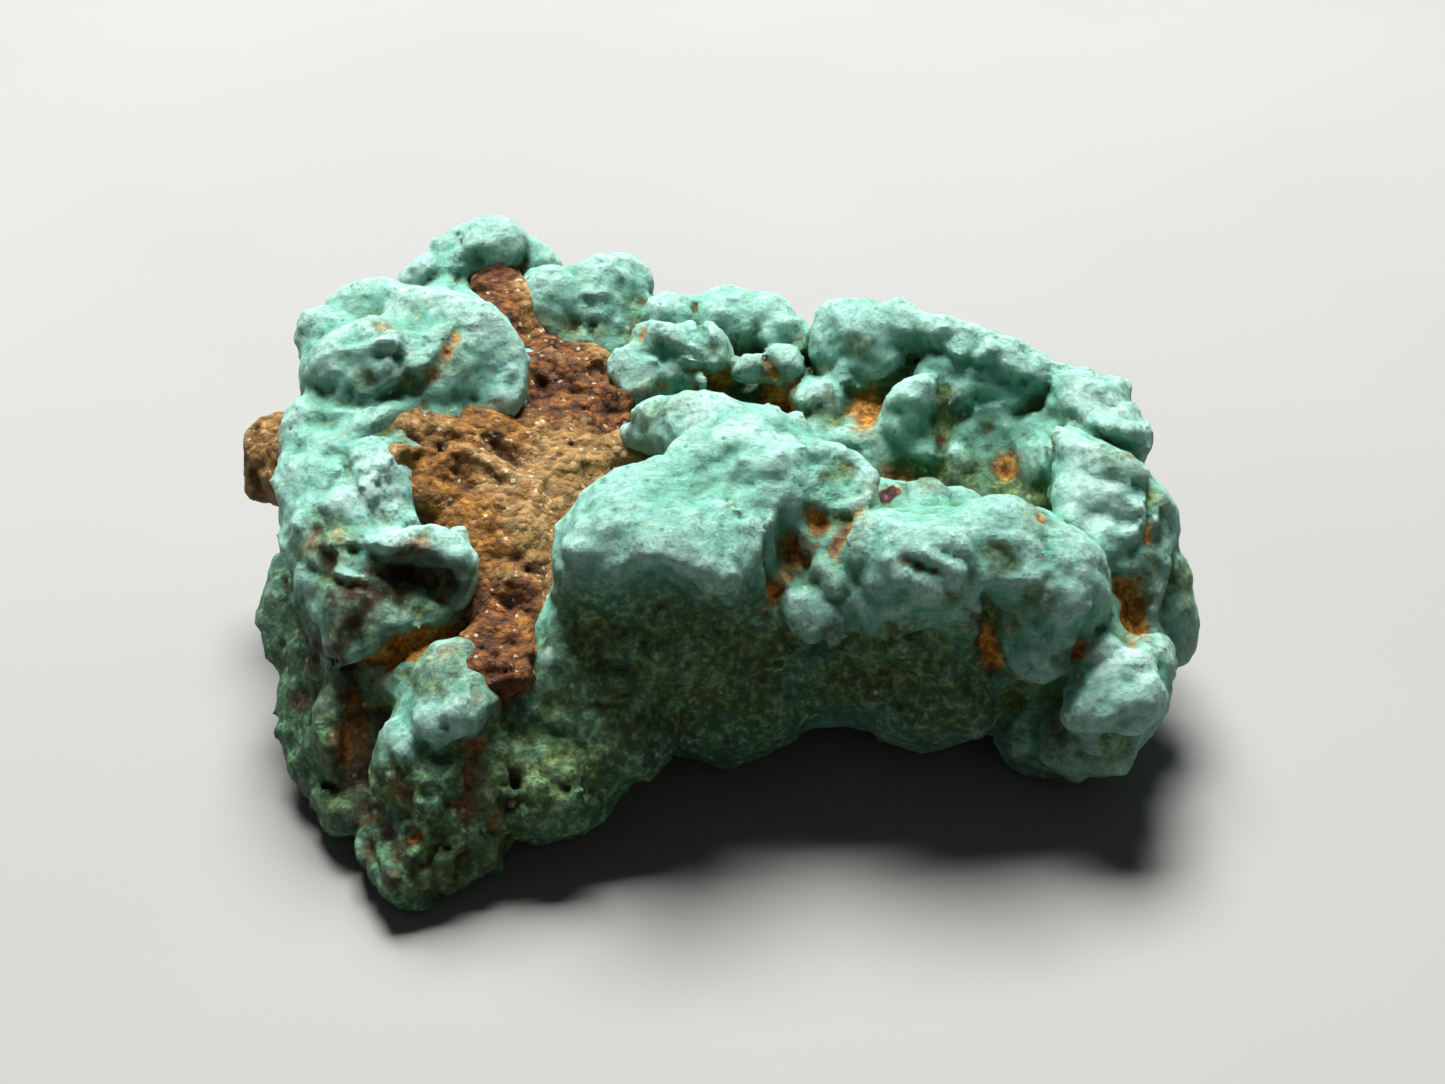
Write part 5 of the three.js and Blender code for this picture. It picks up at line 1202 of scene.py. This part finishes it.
def skin_relief(p):
    """Faint swellings, crumbs and fine wrinkles, stronger in some places than in others. The
    side that faced the cavity wall and the low left end are knobbly."""
    uneven = np.clip(0.70 + 0.8 * drift(p, 3.5, 41), 0.25, 1.2)
    knobbly = ramp(p[:, 1], 6.0, 8.0) * ramp(p[:, 2], 7.5, 6.0)
    bent = p + 0.22 * np.stack([drift(p, 0.9, seed) for seed in (42, 43, 44)], 1)
    swellings = (0.04 + 0.18 * knobbly) * (grains(bent, 1.3, 51) - 0.75)
    small_knobs = 0.32 * low_left(p, 8.0) * (grains(bent, 0.95, 53) - 0.7)
    creases = 0.06 * (np.abs(drift(bent, 0.95, 45)) - 0.3)
    crumbs = 0.07 * (grains(bent, 0.50, 61) - 0.75)
    wrinkles = 0.10 * (np.abs(drift(bent, 0.42, 46)) - 0.3) + 0.08 * drift(p, 0.26, 72)
    return uneven * (swellings + creases + crumbs) + small_knobs + wrinkles


stone.roughen(skin_relief)
for beads in [stone.balls(chain) for chain in GROOVES]:
    stone.add(cleft(beads, blend=0.14))
stone.value = np.maximum(stone.value, -stone.true[2])      # cut off level with the table
stone.close_gaps()

# Botryoidal turquoise, as it grew, not polished: a matt, faintly waxy skin with tiny pits. It gives the eye
# a soft blue-green that turns paler on the worn crests and olive in the clefts. Part of that paleness is
# painted highlight, and part of the darkening in the clefts, under the lobes and on the low faces is
# painted shade.
turquoise_stone, tree, place = begin("rough_botryoidal_turquoise")
cloud = node(tree, "TexNoise", {
    "Vector": place, "Scale": per_mm(4.5), "Detail": 5.0, "Roughness": 0.65})
mottle = node(tree, "TexNoise", {
    "Vector": place, "Scale": per_mm(0.9), "Detail": 6.0, "Roughness": 0.72})
freckle = node(tree, "TexNoise", {
    "Vector": place, "Scale": per_mm(0.26), "Detail": 3.0, "Roughness": 0.7})
tone = node(tree, "ValToRGB", {"Fac": cloud}, stops=(
    (0.34, "#6cbb9b"), (0.46, "#77c5ad"), (0.54, "#7ac9b6"), (0.66, "#69bbab")))
mottled = node(tree, "ValToRGB", {"Fac": mottle}, stops=(
    (0.36, "#68ae90"), (0.50, "#8ccdb8"), (0.64, "#b4e2d2")))
colour = node(tree, "Mix", {0: 0.55, 6: tone, 7: mottled}, 2, data_type="RGBA")
colour = stained(tree, colour, freckle, (
    # crest: paler on the convex tops, partly worn skin and partly painted highlight
    ("crest", 0.4, mottle, 0.0, 1.0, 0.7, ((0.36, "#ace3d2"), (0.64, "#cdf1e4"))),
    # fine, deep and cleft: darker and greener in the creases and hollows, partly the stone's green tint and
    # partly painted shade
    ("fine", 0.3, mottle, 0.0, 1.0, 0.8, ((0.36, "#22684a"), (0.64, "#35805f"))),
    # green: a darker green on the low faces, partly the stone's own tone and partly painted shade
    ("green", 1.2, mottle, 0.2, 1.0, 0.8, ((0.36, "#3c7a50"), (0.64, "#579a78"))),
    # low: dark olive on the low left end, olive stain with painted shade, and painted shade on the low
    # faces under the front lobes
    ("low", 1.0, mottle, 0.05, 0.65, 0.85, (
        (0.36, "#27482a"), (0.50, "#44704a"), (0.64, "#7fae80"))),
    ("deep", 0.6, cloud, 0.0, 1.0, 0.75, ((0.36, "#3c6f3c"), (0.64, "#3f7f58"))),
    ("cleft", 1.0, cloud, 0.1, 1.0, 0.9, ((0.36, "#456a2e"), (0.64, "#578048"))),
    # olive stain with painted shade
    ("olive_stain_and_shade", 1.1, mottle, 0.25, 0.9, 0.9, (
        (0.36, "#314a1c"), (0.50, "#567034"), (0.64, "#839a58"))),
    ("pale", 1.2, mottle, 0.25, 0.75, 0.7, ((0.36, "#a8dccb"), (0.64, "#d2f0e6"))),
    ("cement", 1.2, mottle, 0.42, 0.80, 0.95, (
        (0.36, "#66501f"), (0.50, "#9a7c3c"), (0.64, "#bda267"))),
    ("soil_and_shade", 1.0, mottle, 0.30, 0.80, 0.95, ((0.36, "#2a1c0c"), (0.64, "#5c4420"))),
    ("iron", 1.2, mottle, 0.30, 0.95, 0.95, (
        (0.36, "#6a340a"), (0.50, "#a3601c"), (0.64, "#c48f3a"))),
    ("amber", 1.0, mottle, 0.2, 0.75, 1.0, (
        (0.36, "#8a4a0a"), (0.50, "#c67f1e"), (0.64, "#e2b04e"))),
    ("grain", 0.4, freckle, 0.4, 0.6, 1.0, (
        (0.40, "#1c0a0a"), (0.55, "#4a201c"), (0.66, "#8a5a4c"))),
))
# pale chips and dark dots a tenth of a millimetre across, unevenly strewn; the pale chips also stand in for
# painted glints
SPECKS = {"Vector": place, "Scale": per_mm(0.28)}
away = node(tree, "TexVoronoi", SPECKS, "Distance")
kind = node(tree, "TexVoronoi", SPECKS, "Color")
for channel, code in (("Red", "#d3d6a4"), ("Green", "#56703f")):
    chosen = node(tree, "MapRange", {
        "Value": node(tree, "SeparateColor", {"Color": kind}, channel),
        "From Min": 0.83, "From Max": 0.93, "To Max": 0.7})
    amount = node(tree, "MapRange", {
        "Value": away, "From Min": 0.13, "From Max": 0.33, "To Min": chosen, "To Max": 0.0})
    colour = node(tree, "Mix", {0: amount, 6: colour, 7: linear(code)}, 2, data_type="RGBA")
light = node(tree, "MapRange", {
    "Value": freckle, "From Min": 0.3, "From Max": 0.7, "To Min": 0.80, "To Max": 1.16})
colour = node(
    tree, "Mix", {0: 1.0, 6: colour, 7: light}, 2, data_type="RGBA", blend_type="MULTIPLY")
gloss = node(tree, "MapRange", {
    "Value": freckle, "From Min": 0.35, "From Max": 0.65, "To Min": 0.38, "To Max": 0.75})
wrinkle = node(tree, "TexNoise", {
    "Vector": place, "Scale": per_mm(0.40), "Detail": 7.0, "Roughness": 0.80,
    "Distortion": 0.6})
crisp = node(tree, "TexNoise", {
    "Vector": place, "Scale": per_mm(0.13), "Detail": 5.0, "Roughness": 0.75})
relief = node(tree, "Bump", {"Distance": 0.34 * MM, "Height": wrinkle})
relief = node(tree, "Bump", {"Distance": 0.09 * MM, "Height": crisp, "Normal": relief})
relief = node(tree, "Bump", {
    "Strength": 0.6, "Distance": 0.05 * MM, "Height": away, "Normal": relief})
finish(tree, colour, gloss, relief, ior=1.61)

points, quads = stone.skin()
turquoise = piece("turquoise", points, quads, turquoise_stone)
# how closed in each point is, at several sizes: the creases and hollows found here are darkened partly with
# painted shade
fine = ramp(stone.crowding(points, 0.22), 0.50, 0.64)
crest = ramp(stone.crowding(points, 0.5), 0.50, 0.34)
in_cleft = ramp(stone.crowding(points, 0.6), 0.52, 0.72)
deep = ramp(stone.crowding(points, 1.6), 0.54, 0.76)
crevice = np.maximum(np.maximum(in_cleft, fine), deep)
lit_ridge = lit_foot_ridge(points)
# darker and greener towards the bottom on the left and in the middle, partly the stone's own tone and
# partly painted shade
green = ramp(points[:, 2], 5.2, 3.2) * ramp(points[:, 0], 6.0, 2.0)
halo = [(across, down, 1.9 * radius) for across, down, radius in IRON]
olive_stain_and_shade = np.maximum(stain(stone, points, OLIVE_STAIN_AND_SHADE, 91), 0.7 * stain(stone, points, halo, 87))
# the low left end, darkened by olive stain and painted shade, left lighter on its lit top ridge and on its
# crests
low = low_left(points, 6.6) * (1 - lit_ridge) * (1 - 0.4 * crest)
# soil has stayed in the creases of the back and of the low left end
soiled = ramp(points[:, 1], 5.5, 7.5) * crevice
in_creases = 0.9 * np.maximum(low, soiled) * np.maximum(fine, in_cleft)
soil_and_shade = stain(stone, points, SOIL_AND_SHADE, 99) * (0.7 + 0.3 * crevice)
mark(turquoise, {
    # paler on the crests, partly as painted highlight
    "crest": crest,
    # fine, cleft and deep: partly painted shade in the creases and hollows
    "fine": fine,
    "cleft": in_cleft,
    "deep": deep,
    "green": green * (1 - 0.6 * lit_ridge),
    # the low faces along the front are darkened with painted shade
    "low": np.maximum(low, 0.8 * shaded_front(points)),
    "olive_stain_and_shade": np.maximum(olive_stain_and_shade * (0.7 + 0.4 * crevice), 0.8 * soiled),
    # pale: worn pale skin and painted highlight on the lit tops
    "pale": stain(stone, points, PALE_SKIN_AND_HIGHLIGHT, 95) * 0.7,
    "cement": stain(stone, points, CEMENT, 97) * (0.45 + 0.6 * crevice),
    "soil_and_shade": np.maximum(soil_and_shade, in_creases),
    "iron": stain(stone, points, IRON, 81) * (0.5 + 0.5 * crevice),
    "amber": stain(stone, points, AMBER, 89) * (0.2 + 0.9 * crevice),
    "grain": stain(stone, points, IRON_GRAIN, 83),
})
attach(turquoise, "root")
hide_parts("turquoise_nugget")


# ---- Table ----
# A plain pale table top that carries the stone: matt painted board. It is not part of the
# object. It gives the eye an even pale grey with a faint cloud in it.
TABLE = 0.6                     # half its width, m
mesh = bpy.data.meshes.new("table")
mesh.from_pydata(
    [(-TABLE, -TABLE, 0), (TABLE, -TABLE, 0), (TABLE, TABLE, 0), (-TABLE, TABLE, 0)],
    [], [(0, 1, 2, 3)])
table = bpy.data.objects.new("table", mesh)
bpy.context.scene.collection.objects.link(table)
painted_board, tree, place = begin("matt_painted_board")
cloud = node(tree, "TexNoise", {"Vector": place, "Scale": per_mm(40), "Detail": 3.0})
tone = node(tree, "ValToRGB", {"Fac": cloud}, stops=((0.3, "#7b7b79"), (0.7, "#81817e")))
board = tree.nodes["Principled BSDF"]
tree.links.new(tone, board.inputs["Base Color"])
board.inputs["Roughness"].default_value = 0.85
mesh.materials.append(painted_board)


# ---- Camera ----
# It stands at the eye from which the small features were placed, so they show where their
# places in the frame say.
FILM = 36.0                     # width of the film behind the lens, mm
lens = bpy.data.cameras.new("camera")
camera = bpy.data.objects.new("camera", lens)
bpy.context.scene.collection.objects.link(camera)
bpy.context.scene.camera = camera
camera.location = Vector(EYE + SHIFT) * MM
camera.rotation_euler = Vector(ONWARD).to_track_quat("-Z", "Y").to_euler()
lens.sensor_width = FILM
lens.lens = PIXELS_PER_MM * DISTANCE / FRAME[0] * FILM
lens.clip_start = 0.001
lens.clip_end = 10.0


# ---- Lights ----
# A broad soft lamp behind and above the stone, a weak one at the front, and an even white
# surround.
LAMPS = (                       # place and size in millimetres, and watts
    ("key", (-18, 138, 265), 150, 3.35),
    ("fill", (60, -260, 160), 240, 0.03),
)
for name, place_mm, size_mm, watts in LAMPS:
    light = bpy.data.lights.new(name, "AREA")
    light.size = size_mm * MM
    light.energy = watts
    lamp = bpy.data.objects.new(name, light)
    bpy.context.scene.collection.objects.link(lamp)
    lamp.location = Vector(place_mm) * MM
    lamp.rotation_euler = (Vector(AIM) * MM - lamp.location).to_track_quat("-Z", "Y").to_euler()
world = bpy.data.worlds.new("surround")
world.use_nodes = True
bpy.context.scene.world = world
sky = world.node_tree.nodes["Background"]
sky.inputs["Color"].default_value = linear("#ffffff")
sky.inputs["Strength"].default_value = 0.06
bpy.context.scene.view_settings.view_transform = "Standard"
